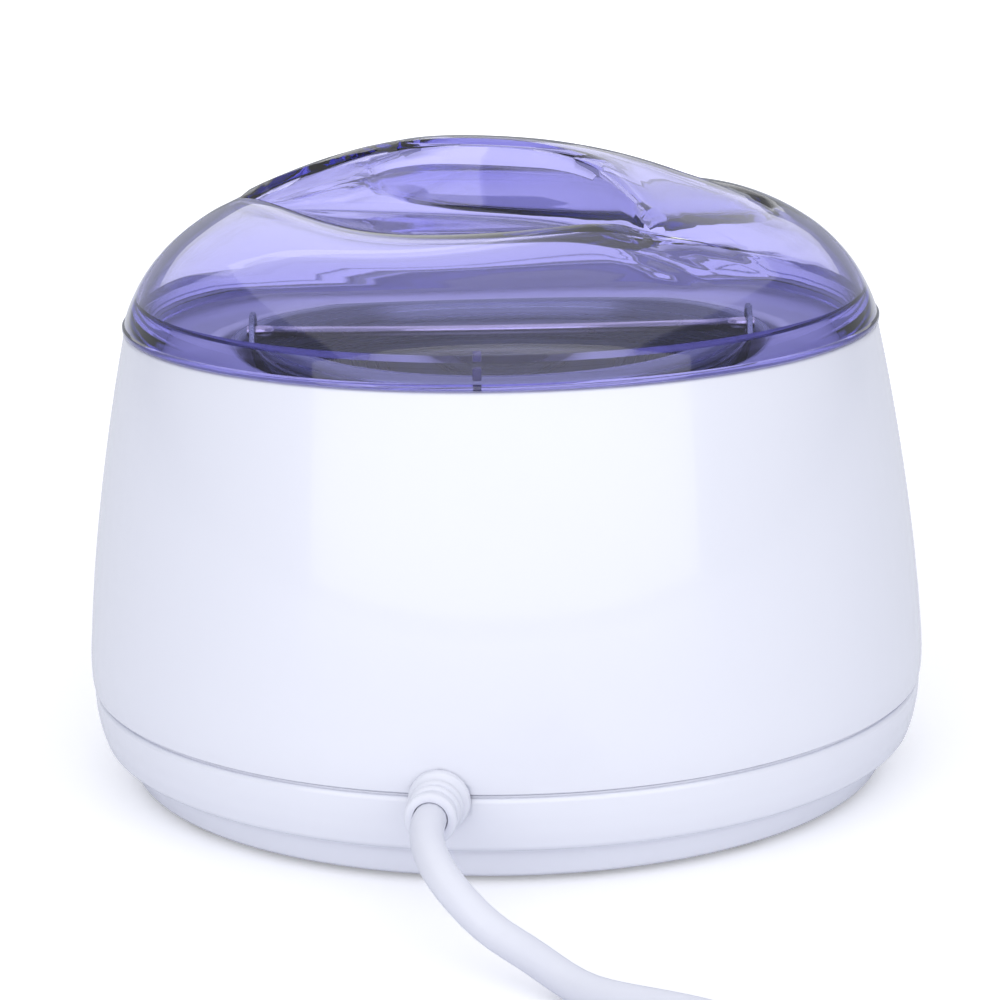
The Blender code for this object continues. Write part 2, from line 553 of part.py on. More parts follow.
def thermostat(body_look, metal_look, knob_look, wall_frame, knob_frame, shell):
    """Built in a frame whose +Z points straight out of the front wall, with 0 on the wall's outside."""
    hole = peg("bush hole", BUSH_RADIUS + GAP, -8.0, 4.0)
    boolean(shell, place("bush hole", hole, parent=wall_frame))
    case = block("thermostat_body", (24.0, 26.0, 14.0), 1.0)
    body = place("thermostat_body", case, body_look, at=(0.0, 0.0, -10.9), parent=wall_frame)
    bush = peg("bush", BUSH_RADIUS, -5.0, 3.0)
    boolean(body, place("bush", bush, parent=wall_frame), "UNION")
    shaft_hole = peg("shaft hole", SHAFT_RADIUS + GAP, -12.0, 6.0)
    boolean(body, place("shaft hole", shaft_hole, parent=wall_frame))
    nut = place("thermostat_nut", peg("thermostat_nut", 8.0, 0.5, 3.0, 6), metal_look, parent=wall_frame)
    nut_hole = peg("nut hole", BUSH_RADIUS + GAP, 0.0, 4.0, MIDDLE)
    boolean(nut, place("nut hole", nut_hole, parent=wall_frame))
    shaft = peg("thermostat_shaft", SHAFT_RADIUS, -11.6, 11.2)
    place("thermostat_shaft", shaft, metal_look, parent=knob_frame)
    outline = (
        (0.0, KNOB_FACE), (15.6, KNOB_FACE), (17.0, KNOB_FACE - 0.8), (17.6, KNOB_FACE - 2.4),
        (KNOB_RADIUS, 2.4), (KNOB_RADIUS, 0.9), (9.4, 0.9), (9.4, 4.4), (3.3, 4.4), (3.3, 11.5), (0.0, 11.5),
    )
    knob = place("control_knob", turned("control_knob", outline, LARGE), knob_look, parent=knob_frame)
    slot = block("pointer slot", (1.6, 11.0, 1.6))
    boolean(knob, place("pointer slot", slot, at=(0.0, 9.6, KNOB_FACE), parent=knob_frame))


def indicator(lens_look, lamp_look, shell):
    frame = empty("indicator frame", (0.0, -LENS_RADIUS_AT_WALL, LENS_Z), (LENS_TILT, 0.0, 0.0))
    boolean(shell, place("lens hole", peg("lens hole", LENS_HOLE, -8.0, 4.0), parent=frame))
    lens = (
        (0.0, 2.4), (2.0, 2.2), (3.8, 1.5), (4.7, 0.4), (3.5, 0.4), (3.5, -5.0), (0.0, -5.0),
    )
    place("indicator_lens", turned("indicator_lens", lens, SMALL), lens_look, parent=frame)
    lamp = ((0.0, -5.4), (1.8, -5.6), (2.6, -7.0), (2.6, -12.4), (1.0, -13.4), (0.0, -13.4))
    place("indicator_lamp", turned("indicator_lamp", lamp[::-1], 12), lamp_look, parent=frame)


# ---------------------------------------------------------------- supply and cord


def supply(looks):
    terminal = block("terminal_block", (28.0, 12.0, 10.0), 0.8)
    place("terminal_block", terminal, looks["ivory"], at=(0.0, 44.0, 8.7))
    clamp = place("cord_clamp", block("cord_clamp", CLAMP_SIZE, 0.5), looks["ivory"], at=(0.0, CLAMP_Y, 25.1))
    for index, side in enumerate((-1, 1)):
        hole = peg(f"clamp hole {index}", SHANK_HOLE - 0.1, 20.0, 30.0, 12)
        boolean(clamp, place(hole.name, hole, at=(CLAMP_SPREAD * side, CLAMP_Y, 0.0)))
        mesh = screw_mesh("clamp_screw", 2.6, 1.5, 18.0)
        at = (CLAMP_SPREAD * side, CLAMP_Y, 26.8)
        place(f"clamp_screw_{index + 1}", mesh, looks["steel"], at=at, rotation=(math.pi, 0, 0))
    tube("inner_cord", [(0.0, y, RELIEF_Z) for y in INNER_CORD_Y], CORD, looks["cord"])
    wires = (
        ("supply_wire_live", [(-x, y, z) for x, y, z in SUPPLY_WIRE], 6, "red_wire"),
        ("supply_wire_neutral", SUPPLY_WIRE, 6, "white_wire"),
        ("thermostat_wire", THERMOSTAT_WIRE, 12, "red_wire"),
        ("heater_wire", HEATER_WIRE, 8, "white_wire"),
    )
    for name, route, count, look in wires:
        tube(name, smooth_line(route, count), WIRE, looks[look], detail=1)


def strain_relief(look, shell, base):
    """A grommet held between shell and base, then three tapered ribs round the cord."""
    outline = [(0.0, RELIEF_START), (4.6, RELIEF_START), (6.5, 83.0), (6.5, 85.2), (4.6, 85.2), (4.6, 89.9)]
    outline += [(5.8, 89.9), (6.0, 90.2), (6.0, 91.2), (5.6, 91.7), (4.7, 92.0)]
    for index in range(3):
        start = 93.3 + 2.9 * index
        radius = 5.5 - 0.2 * index
        outline += [(radius - 1.0, start), (radius, start + 0.5)]
        outline += [(radius, start + 1.4), (radius - 1.1, start + 1.9)]
    outline[-1] = (4.2, RELIEF_END)
    outline[-2] = (5.1, RELIEF_END - 0.5)
    outline += [(0.0, RELIEF_END)]
    along_y = (-math.pi / 2, 0.0, 0.0)
    mesh = turned("strain_relief", outline[::-1], SMALL)
    place("strain_relief", mesh, look, at=(0.0, 0.0, RELIEF_Z), rotation=along_y)
    hole = peg("relief hole", 5.0, 78.0, 95.0)
    cutter = place("relief hole", hole, at=(0.0, 0.0, RELIEF_Z), rotation=along_y)
    for owner in (shell, base):
        boolean(owner, cutter)


def power_cord(cord_look, tie_look, plug_look, pin_look):
    tube("power_cord_run", smooth_line(RUN, 30), CORD, cord_look)
    tube("power_cord_tail", smooth_line(TAIL, 16), CORD, cord_look)
    coil = (
        (COIL_INNER + 2, COIL_TOP), (COIL_INNER, COIL_TOP - 2), (COIL_INNER, COIL_BOTTOM + 2),
        (COIL_INNER + 2, COIL_BOTTOM), (COIL_OUTER - 2, COIL_BOTTOM), (COIL_OUTER, COIL_BOTTOM + 2),
        (COIL_OUTER, COIL_TOP - 2), (COIL_OUTER - 2, COIL_TOP),
    )
    centre = (*COIL_CENTRE, 0.0)
    place("power_cord_coil", turned("power_cord_coil", coil[::-1], 28), cord_look, at=centre)
    # The tie is a thin strap round the section of the coil.
    inside = (COIL_INNER - 0.6, COIL_OUTER + GAP, COIL_BOTTOM - GAP, COIL_TOP + GAP)
    left, right, bottom, top = inside
    frame = empty("tie frame", centre, (0.0, 0.0, TIE_AZIMUTH))
    outer = (
        (left - TIE_THICK, bottom - TIE_THICK), (right + TIE_THICK, bottom - TIE_THICK),
        (right + TIE_THICK, top + TIE_THICK), (left - TIE_THICK, top + TIE_THICK),
    )
    strap = extruded("cord_tie", outer, TIE_WIDTH)
    tie = place("cord_tie", strap, tie_look, at=(0.0, -TIE_WIDTH / 2, 0.0), parent=frame)
    hollow = extruded("tie hollow", ((left, bottom), (right, bottom), (right, top), (left, top)), 2 * TIE_WIDTH)
    boolean(tie, place("tie hollow", hollow, at=(0, -TIE_WIDTH, 0), parent=frame))
    # The flat two-pin plug, its cord entry at its frame's origin and its pins along +Y.
    frame = empty("plug frame", PLUG_AT, (0.0, 0.0, PLUG_TURN))
    outline = (
        (-6.0, 0.6), (6.0, 0.6), (8.5, 8.0), (13.0, 14.0), (17.0, 27.0), (17.5, PLUG_LENGTH),
        (-17.5, PLUG_LENGTH), (-17.0, 27.0), (-13.0, 14.0), (-8.5, 8.0),
    )
    bm = bmesh.new()
    face = bm.faces.new([bm.verts.new(Vector((x, y, -PLUG_HALF_THICK)) * MM) for x, y in outline])
    grown = bmesh.ops.extrude_face_region(bm, geom=[face])["geom"]
    moved = [item for item in grown if isinstance(item, bmesh.types.BMVert)]
    bmesh.ops.translate(bm, vec=(0.0, 0.0, 2 * PLUG_HALF_THICK * MM), verts=moved)
    rims = [edge for edge in bm.edges if abs(edge.verts[0].co.z - edge.verts[1].co.z) < 1e-6]
    bmesh.ops.bevel(bm, geom=rims, offset=2.2 * MM, segments=2, profile=0.5, affect="EDGES")
    place("plug_body", mesh_of("plug_body", bm), plug_look, parent=frame)
    pin = ((0.0, PIN_LENGTH), (1.3, PIN_LENGTH), (PIN_RADIUS, PIN_LENGTH - 1.2), (PIN_RADIUS, 0.0), (0.0, 0.0))
    for index, side in enumerate((-1, 1)):
        at = (side * PIN_PITCH / 2, PLUG_LENGTH + GAP, 0.0)
        mesh = turned(f"plug_pin_{index + 1}", pin, 12)
        place(mesh.name, mesh, pin_look, at=at, rotation=(-math.pi / 2, 0, 0), parent=frame)


def main():
    clear_scene()
    looks = {
        "white": material("gloss white", (0.86, 0.87, 0.93), 0.18),
        "purple": material("clear purple", (0.42, 0.35, 0.86), 0.06, 0.0, 0.9),
        "aluminium": material("spun aluminium", (0.62, 0.64, 0.72), 0.32, 1.0),
        "steel": material("bright steel", (0.72, 0.71, 0.70), 0.25, 1.0),
        "dark_steel": material("heater steel", (0.34, 0.33, 0.32), 0.5, 1.0),
        "wool": material("insulation", (0.78, 0.75, 0.66), 0.95),
        "ivory": material("ivory plastic", (0.78, 0.74, 0.62), 0.4),
        "black": material("black plastic", (0.03, 0.03, 0.035), 0.45),
        "knob": material("knob white", (0.80, 0.81, 0.88), 0.3),
        "red_lens": material("red lens", (0.75, 0.08, 0.05), 0.1, 0.0, 0.7),
        "lamp": material("lamp glass", (0.90, 0.55, 0.35), 0.1, 0.0, 0.6),
        "fuse": material("fuse case", (0.70, 0.68, 0.60), 0.4, 1.0),
        "brass": material("brass", (0.80, 0.62, 0.30), 0.3, 1.0),
        "cord": material("cord white", (0.84, 0.85, 0.90), 0.42),
        "red_wire": material("red wire", (0.55, 0.10, 0.07), 0.5),
        "white_wire": material("white wire", (0.80, 0.80, 0.78), 0.5),
        "rubber": material("grey rubber", (0.16, 0.16, 0.17), 0.8),
    }
    shell = body_shell(looks["white"])
    base = base_cover(looks["white"])
    feet(looks["rubber"])
    base_screws(looks["steel"])
    heating_well(looks["aluminium"])
    well_screws(looks["steel"])
    heater(looks["dark_steel"], looks["steel"], looks["wool"])
    thermal_fuse(looks["fuse"], looks["steel"])
    wall_frame = empty("front wall frame", (0.0, -KNOB_RADIUS_AT_WALL, KNOB_Z), (KNOB_TILT, 0.0, 0.0))
    knob_frame = empty("knob axis", (0.0, -KNOB_RADIUS_AT_WALL, KNOB_Z), (KNOB_TILT, 0.0, 0.0))
    thermostat(looks["black"], looks["steel"], looks["knob"], wall_frame, knob_frame, shell)
    indicator(looks["red_lens"], looks["lamp"], shell)
    supply(looks)
    strain_relief(looks["cord"], shell, base)
    power_cord(looks["cord"], looks["black"], looks["cord"], looks["brass"])
    pot_frame = empty("pot axis", (0.0, 0.0, 0.0), (0.0, 0.0, POT_TURN))
    wax_pot(looks["aluminium"], pot_frame)
    pot_ears(looks["aluminium"], looks["steel"], pot_frame)
    bail_frame = empty("bail axis", (0.0, 0.0, PIVOT_Z), (BAIL_DROP, 0.0, 0.0), pot_frame)
    bail_handle(looks["steel"], bail_frame)
    lid_frame = empty("lid axis", (0.0, 0.0, 0.0), (0.0, 0.0, LID_TURN))
    place("lid", lid_mesh(13, 2, 3, 2, 2), looks["purple"], parent=lid_frame)


main()
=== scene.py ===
# %% [markdown]
# # A salon wax warmer
# The appliance is a glossy white tapered shell on a white base cover, with a clear purple lid, a spun
# aluminium pot that lifts out by its wire bail, a thermostat knob on the front and a mains cord at the back.
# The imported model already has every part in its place, so this lesson loads it as a fixed frame, and then
# makes finer pieces for what the eye sees. Nothing is moved: each new piece is built where its part is.

# %% Load the frame and keep its box
import math

import bmesh
import bpy
import numpy as np
from mathutils import Matrix, Vector


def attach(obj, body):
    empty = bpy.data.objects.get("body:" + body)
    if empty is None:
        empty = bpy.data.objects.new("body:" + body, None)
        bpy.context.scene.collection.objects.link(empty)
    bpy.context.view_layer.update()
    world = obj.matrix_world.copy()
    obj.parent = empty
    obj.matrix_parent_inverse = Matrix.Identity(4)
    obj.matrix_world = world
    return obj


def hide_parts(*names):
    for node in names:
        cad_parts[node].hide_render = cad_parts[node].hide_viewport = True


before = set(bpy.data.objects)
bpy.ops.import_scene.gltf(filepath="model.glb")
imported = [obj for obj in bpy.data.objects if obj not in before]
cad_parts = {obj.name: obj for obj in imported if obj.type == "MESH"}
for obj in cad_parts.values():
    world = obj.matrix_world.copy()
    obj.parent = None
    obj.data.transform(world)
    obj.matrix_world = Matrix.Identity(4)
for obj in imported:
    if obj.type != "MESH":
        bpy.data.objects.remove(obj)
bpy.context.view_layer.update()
MM = 0.001
TAU = 2 * math.pi

# %% [markdown]
# ## Camera
# A long lens from a little above the table keeps the round body's sides nearly upright. The camera aims at the middle
# of the body, leans by one degree, and is shifted a little so that the cord has room below the body. Depth of field
# stays off, because other views use the same camera.

# %% Make the camera
VIEW_AZIMUTH = math.radians(188.4)
VIEW_ELEVATION = math.radians(12.618)
VIEW_DISTANCE = 0.650
VIEW_ROLL = math.radians(-1.028)
AIM = Vector((0.0, 0.0, 0.070))
LENS_MM, SENSOR_MM = 109.155, 36.0
SHIFT_X, SHIFT_Y = -0.0028, -0.0612

camera_data = bpy.data.cameras.new("camera")
camera_data.lens = LENS_MM
camera_data.sensor_width = SENSOR_MM
camera_data.shift_x = SHIFT_X
camera_data.shift_y = SHIFT_Y
camera = bpy.data.objects.new("camera", camera_data)
bpy.context.scene.collection.objects.link(camera)
towards = Vector(
    (
        math.sin(VIEW_AZIMUTH) * math.cos(VIEW_ELEVATION),
        -math.cos(VIEW_AZIMUTH) * math.cos(VIEW_ELEVATION),
        math.sin(VIEW_ELEVATION),
    )
)
camera.location = AIM + towards * VIEW_DISTANCE
facing = towards.to_track_quat("Z", "Y").to_matrix() @ Matrix.Rotation(VIEW_ROLL, 3, "Z")
camera.rotation_euler = facing.to_euler()
bpy.context.scene.camera = camera
bpy.context.scene.view_settings.view_transform = "Standard"
print("camera at", [round(value, 3) for value in camera.location])

# %% [markdown]
# ## Floor and light
# Gloss shows whatever stands around it, so the light is part of the look. One wide softbox behind the camera gives
# the broad bright patch with soft edges, a square one overhead lights the dome, and a dim cool surround
# leaves the sides a soft grey. The lights are hidden from the camera, so that they never show in another view.
# Every material and every Geometry Nodes tree below is made of nodes, so the helper that adds one comes first.


# %% Add a node
def put(tree, kind, feeds=(), **settings):
    """A new node. `feeds` gives an input, by its name or number, either a value or the output that it follows."""
    made = tree.nodes.new(kind)
    for label, value in settings.items():
        setattr(made, label, value)
    for label, value in dict(feeds).items():
        if isinstance(value, bpy.types.NodeSocket):
            tree.links.new(value, made.inputs[label])
        else:
            made.inputs[label].default_value = value
    return made


def blank_material(name, **inputs):
    """A new material, its tree and its Principled shader, with the shader's own inputs set."""
    made = bpy.data.materials.new(name)
    made.use_nodes = True
    shader = made.node_tree.nodes["Principled BSDF"]
    for label, value in inputs.items():
        shader.inputs[label.replace("_", " ")].default_value = value
    return made, made.node_tree, shader


# %% Make the floor
FLOOR_HALF = 14.0
GLOW_NEAR, GLOW_FAR, SEEN_THROUGH = 0.22, 0.9, 0.55
GLOW_START, GLOW_END = 0.15, 1.2
COOL_PAPER, WHITE_PAPER = (0.84, 0.85, 0.90, 1.0), (0.96, 0.96, 0.97, 1.0)
floor_mesh = bpy.data.meshes.new("floor")
floor_corners = [(x, y, 0.0) for x, y in ((-1, -1), (1, -1), (1, 1), (-1, 1))]
floor_mesh.from_pydata([Vector(corner) * FLOOR_HALF for corner in floor_corners], [], [(0, 1, 2, 3)])
floor = bpy.data.objects.new("floor", floor_mesh)
bpy.context.scene.collection.objects.link(floor)
floor_look, tree, shader = blank_material(
    "pale floor", Roughness=0.8, Specular_IOR_Level=0.1, Emission_Color=(1.0, 1.0, 1.0, 1.0)
)
ray = put(tree, "ShaderNodeLightPath").outputs
seen = put(
    tree, "ShaderNodeMath", {0: ray["Is Transmission Ray"], 1: SEEN_THROUGH, 2: ray["Is Camera Ray"]},
    operation="MULTIPLY_ADD",
).outputs["Value"]
paper = put(tree, "ShaderNodeMix", {"Factor": seen, 6: COOL_PAPER, 7: WHITE_PAPER}, data_type="RGBA")
tree.links.new(paper.outputs[2], shader.inputs["Base Color"])
place = put(tree, "ShaderNodeTexCoord").outputs["Object"]
distance = put(tree, "ShaderNodeVectorMath", {0: place}, operation="LENGTH").outputs["Value"]
sweep = put(
    tree, "ShaderNodeMapRange",
    {"Value": distance, "From Min": GLOW_START, "From Max": GLOW_END, "To Min": GLOW_NEAR, "To Max": GLOW_FAR},
)
glow = put(tree, "ShaderNodeMath", {0: seen, 1: sweep.outputs["Result"]}, operation="MULTIPLY")
tree.links.new(glow.outputs["Value"], shader.inputs["Emission Strength"])
floor_mesh.materials.append(floor_look)
print("floor", 2 * FLOOR_HALF, "m wide")

# %% Make the surround and the softboxes
SURROUND_COLOUR, SURROUND_STRENGTH = (0.80, 0.83, 0.92, 1.0), 0.46
flat_towards = Vector((towards.x, towards.y, 0.0)).normalized()
SOFTBOXES = {  # place, aim, width and height in metres, power in watts
    "front softbox": (flat_towards * 1.10 + Vector((0, 0, 0.56)), (0, 0, 0.20), 3.3, 1.1, 14.5),
    "top softbox": (Vector((0.0, 0.0, 1.5)), (0, 0, 0), 3.0, 3.0, 15.0),
    "back softbox": (flat_towards * -1.4 + Vector((0, 0, 0.9)), (0, 0, 0.05), 2.4, 0.9, 4.0),
}
world = bpy.data.worlds.new("studio")
bpy.context.scene.world = world
world.use_nodes = True
world.node_tree.nodes["Background"].inputs["Color"].default_value = SURROUND_COLOUR
world.node_tree.nodes["Background"].inputs["Strength"].default_value = SURROUND_STRENGTH
for name, (at, aim, width, height, power) in SOFTBOXES.items():
    data = bpy.data.lights.new(name, "AREA")
    data.shape = "RECTANGLE"
    data.size, data.size_y, data.energy = width, height, power
    softbox = bpy.data.objects.new(name, data)
    bpy.context.scene.collection.objects.link(softbox)
    softbox.location = at
    softbox.rotation_euler = (at - Vector(aim)).to_track_quat("Z", "Y").to_euler()
    softbox.visible_camera = False
print(", ".join(SOFTBOXES))

# %% [markdown]
# ## Finishes
# Moulded plastic is never one flat colour: it has a faint mottling in its gloss and an almost invisible orange peel.
# Spun metal has fine rings round its axis. Each effect is a node group with named inputs, and every material places
# the group with its own values. The shader stays in the material, and what is the same all over is set on it.


# %% Build the two shared effects
VECTOR, COLOUR, FLOAT = "NodeSocketVector", "NodeSocketColor", "NodeSocketFloat"
NOISE_LOW, NOISE_HIGH = 0.35, 0.65
MOULD_RELIEF, SPUN_RELIEF = 0.02 * MM, 0.03 * MM
MARKING_SCALE = 30.0


def begin_group(name, **sizes):
    """A node group with a place, two colours and the named sizes coming in, and a surface going out."""
    group = bpy.data.node_groups.new(name, "ShaderNodeTree")
    for label, kind in (("Vector", VECTOR), ("Colour", COLOUR), ("Shade", COLOUR)):
        group.interface.new_socket(label, in_out="INPUT", socket_type=kind)
    for label, value in sizes.items():
        group.interface.new_socket(label, in_out="INPUT", socket_type=FLOAT).default_value = value
    for label, kind in (("Colour", COLOUR), ("Roughness", FLOAT), ("Normal", VECTOR)):
        group.interface.new_socket(label, in_out="OUTPUT", socket_type=kind)
    return group, group.nodes.new("NodeGroupInput").outputs


def noise(tree, vector, scale, detail=3.0):
    """A noise that reads `vector`. Its scale is a number or an output."""
    return put(tree, "ShaderNodeTexNoise", {"Vector": vector, "Scale": scale, "Detail": detail}).outputs["Fac"]


def end_group(group, start, patches, gloss, relief, distance):
    """Colour varies with `patches`, roughness with the useful middle of `gloss`, and the normal with `relief`."""
    mix = put(group, "ShaderNodeMix", {"Factor": patches, 6: start["Colour"], 7: start["Shade"]}, data_type="RGBA")
    bump = put(group, "ShaderNodeBump", {"Distance": distance, "Strength": start["Depth"], "Height": relief})
    middle = {"From Min": NOISE_LOW, "From Max": NOISE_HIGH, "To Min": start["Smooth"], "To Max": start["Rough"]}
    rough = put(group, "ShaderNodeMapRange", {"Value": gloss, **middle}).outputs["Result"]
    surface = {"Colour": mix.outputs[2], "Roughness": rough, "Normal": bump.outputs["Normal"]}
    put(group, "NodeGroupOutput", surface)
    return group


MOULDED, start = begin_group("moulded surface", Mottle=25.0, Grain=900.0, Depth=0.1, Smooth=0.15, Rough=0.25)
mottle = noise(MOULDED, start["Vector"], start["Mottle"])
end_group(MOULDED, start, mottle, mottle, noise(MOULDED, start["Vector"], start["Grain"], 2.0), MOULD_RELIEF)

# Rings round the piece's Z axis are a noise that changes only with radius and height.
SPUN, start = begin_group("spun metal", Rings=2500.0, Depth=0.2, Smooth=0.2, Rough=0.4)
split = put(SPUN, "ShaderNodeSeparateXYZ", {"Vector": start["Vector"]}).outputs
flat = put(SPUN, "ShaderNodeCombineXYZ", {"X": split["X"], "Y": split["Y"]}).outputs["Vector"]
radius = put(SPUN, "ShaderNodeVectorMath", {0: flat}, operation="LENGTH").outputs["Value"]
rings = put(SPUN, "ShaderNodeCombineXYZ", {"X": radius, "Y": split["Z"]}).outputs["Vector"]
lines = noise(SPUN, rings, start["Rings"], 2.0)
end_group(SPUN, start, noise(SPUN, start["Vector"], MARKING_SCALE), lines, lines, SPUN_RELIEF)
print("effects:", MOULDED.name, "and", SPUN.name)


# %% Turn an effect into a material
def place_effect(tree, group, values):
    """The outputs of a group that reads the piece's own coordinates, with its inputs set."""
    place = put(tree, "ShaderNodeTexCoord").outputs["Object"]
    effect = put(tree, "ShaderNodeGroup", node_tree=group)
    tree.links.new(place, effect.inputs["Vector"])
    for label, value in values.items():
        effect.inputs[label].default_value = value
    return effect.outputs


def finish_of(name, group, colour, shade, gloss, sizes, metallic=0.0, coat=0.0, coat_roughness=0.05):
    """A material whose colour, roughness and normal come from a group. `gloss` is its least and most roughness."""
    made, tree, shader = blank_material(
        name, Metallic=metallic, Coat_Weight=coat, Coat_Roughness=coat_roughness, IOR=1.48
    )
    values = {"Colour": (*colour, 1.0), "Shade": (*shade, 1.0), "Smooth": gloss[0], "Rough": gloss[1], **sizes}
    effect = place_effect(tree, group, values)
    for label, socket in (("Colour", "Base Color"), ("Roughness", "Roughness"), ("Normal", "Normal")):
        tree.links.new(effect[label], shader.inputs[socket])
    return made


def moulded(name, colour, shade, gloss, mottle, grain=900.0, depth=0.1, **shader):
    return finish_of(name, MOULDED, colour, shade, gloss, {"Mottle": mottle, "Grain": grain, "Depth": depth}, **shader)


def steel(name, colour, shade, gloss, mottle, grain, depth):
    return moulded(name, colour, shade, gloss, mottle, grain, depth, metallic=1.0)


def spun(name, colour, shade, gloss, rings, depth):
    return finish_of(name, SPUN, colour, shade, gloss, {"Rings": rings, "Depth": depth}, metallic=1.0)


# %% Make the opaque materials
# Each has a colour and its shade, the least and most roughness, and then the scales and depth of its texture.
gloss_white = moulded(
    "gloss white shell", (0.84, 0.85, 0.92), (0.81, 0.82, 0.90), (0.16, 0.22), 18.0, 700.0, 0.15,
    coat=0.5, coat_roughness=0.04,
)
cord_white = moulded("soft white cord", (0.82, 0.83, 0.90), (0.74, 0.75, 0.84), (0.34, 0.48), 60.0, 2200.0, 0.5)
knob_white = moulded("knob white", (0.80, 0.81, 0.88), (0.76, 0.77, 0.85), (0.24, 0.34), 50.0, 1800.0, 0.4, coat=0.2)
print_grey = moulded("printed grey", (0.20, 0.20, 0.24), (0.25, 0.25, 0.29), (0.35, 0.5), 80.0)
ivory = moulded("ivory plastic", (0.76, 0.71, 0.58), (0.70, 0.64, 0.50), (0.35, 0.5), 90.0, 1600.0, 0.4)
soft_black = moulded("soft black", (0.030, 0.030, 0.033), (0.045, 0.045, 0.048), (0.38, 0.55), 90.0, 2400.0, 0.6)
grey_rubber = moulded("grey rubber", (0.15, 0.15, 0.16), (0.22, 0.22, 0.22), (0.7, 0.9), 150.0, 2600.0, 0.8)
fibre_felt = moulded("fibre felt", (0.78, 0.75, 0.66), (0.62, 0.58, 0.48), (0.85, 1.0), 400.0, 1500.0, 1.0)
red_sleeve = moulded("red sleeve", (0.52, 0.07, 0.05), (0.42, 0.05, 0.04), (0.4, 0.55), 150.0)
white_sleeve = moulded("white sleeve", (0.78, 0.78, 0.76), (0.68, 0.68, 0.65), (0.4, 0.55), 150.0)
deep_purple = moulded("deep purple", (0.045, 0.035, 0.16), (0.06, 0.05, 0.20), (0.2, 0.3), 80.0)
bright_wire = steel("bright wire", (0.86, 0.80, 0.80), (0.74, 0.69, 0.70), (0.12, 0.28), 120.0, 2500.0, 0.3)
plated_steel = steel("plated steel", (0.66, 0.65, 0.63), (0.50, 0.49, 0.48), (0.22, 0.42), 300.0, 3000.0, 0.4)
stained_steel = steel("heat-stained steel", (0.36, 0.34, 0.33), (0.26, 0.20, 0.15), (0.35, 0.6), 70.0, 900.0, 0.5)
# The pot's colour is far darker and bluer than the well's plain aluminium. This is painted shade for the pot's shadowed
# inside, and its outside and ears carry it too.
pot_aluminium_painted_shade = spun("spun aluminium", (0.33, 0.35, 0.41), (0.26, 0.28, 0.34), (0.20, 0.38), 2600.0, 0.25)
well_aluminium = spun("well aluminium", (0.66, 0.66, 0.70), (0.52, 0.52, 0.55), (0.32, 0.52), 1500.0, 0.4)
print("materials:", len(bpy.data.materials))

# %% [markdown]
# ## Clear coloured plastic
# The lid is a transparent moulding about two millimetres thick. Its colour sits in the depth of the material and not
# on its surface, so thick places and grazing views look darker. A volume absorption inside a clear shell does this.


# %% Make the clear materials
def clear_plastic(name, tint, roughness, absorb, density, ior=1.5, coat=0.0):
    made, tree, shader = blank_material(
        name, Base_Color=(*tint, 1.0), Transmission_Weight=1.0, IOR=ior, Coat_Weight=coat, Coat_Roughness=0.02
    )
    values = {"Mottle": 22.0, "Grain": 260.0, "Depth": 0.04, "Smooth": roughness, "Rough": roughness * 1.8}
    effect = place_effect(tree, MOULDED, values)
    for label in ("Roughness", "Normal"):
        tree.links.new(effect[label], shader.inputs[label])
    volume = put(tree, "ShaderNodeVolumeAbsorption", {"Color": (*absorb, 1.0), "Density": density})
    tree.links.new(volume.outputs["Volume"], tree.nodes["Material Output"].inputs["Volume"])
    return made


clear_purple = clear_plastic(
    "clear purple", (0.84, 0.83, 1.0), 0.02, (0.34, 0.30, 0.86), 95.0, ior=1.22, coat=1.0
)
clear_red = clear_plastic("clear red", (1.0, 0.80, 0.78), 0.04, (0.95, 0.10, 0.08), 130.0)
clear_lamp = clear_plastic("lamp glass", (1.0, 0.95, 0.90), 0.02, (0.95, 0.70, 0.50), 60.0)
print("clear materials:", clear_purple.name, clear_red.name, clear_lamp.name)

# %% [markdown]
# ## Tools
# Nearly every piece here is turned: an outline of radius and height goes round an axis. Real mouldings have no
# knife-sharp corners, so `rounded` puts a small arc on each corner of an outline first. `settle` gives a finished
# mesh its material and its body, and hides the CAD nodes that it stands for.


# %% Smooth and round an outline
SHARP = 40.0  # degrees, the least angle of an edge that stays crisp
MOST_OF_EDGE = 0.42  # of an edge's length that the round of one corner may use


def smooth_line(points, count):
    """`count` + 1 points evenly spaced along a cubic B-spline that the given points steer."""
    known = np.array(points, float)
    padded = np.vstack((2 * known[0] - known[1], known, 2 * known[-1] - known[-2]))
    dense = [known[0]]
    for a, b, c, d in zip(padded, padded[1:], padded[2:], padded[3:]):
        for t in np.linspace(0.0, 1.0, 33)[1:]:
            weights = ((1 - t) ** 3, 3 * t**3 - 6 * t**2 + 4, -3 * t**3 + 3 * t**2 + 3 * t + 1, t**3)
            dense.append(sum(weight * corner for weight, corner in zip(weights, (a, b, c, d))) / 6)
    dense = np.array(dense)
    along = np.concatenate(([0.0], np.cumsum(np.linalg.norm(np.diff(dense, axis=0), axis=1))))
    wanted = np.linspace(0.0, along[-1], count + 1)
    return np.column_stack([np.interp(wanted, along, dense[:, axis]) for axis in range(known.shape[1])])


def rounded(outline, radius, steps=4):
    """A closed outline with an arc-like curve of about `radius` on each corner off the axis."""
    corners = [np.array(point, float) for point in outline]
    made = []
    for index, corner in enumerate(corners):
        before, after = corners[index - 1], corners[(index + 1) % len(corners)]
        if corner[0] == 0.0:
            made.append(tuple(corner))
            continue
        back, ahead = before - corner, after - corner
        reach = min(radius, MOST_OF_EDGE * np.linalg.norm(back), MOST_OF_EDGE * np.linalg.norm(ahead))
        first = corner + back / np.linalg.norm(back) * reach
        last = corner + ahead / np.linalg.norm(ahead) * reach
        for step in range(steps + 1):
            t = step / steps
            made.append(tuple((1 - t) ** 2 * first + 2 * t * (1 - t) * corner + t**2 * last))
    return made


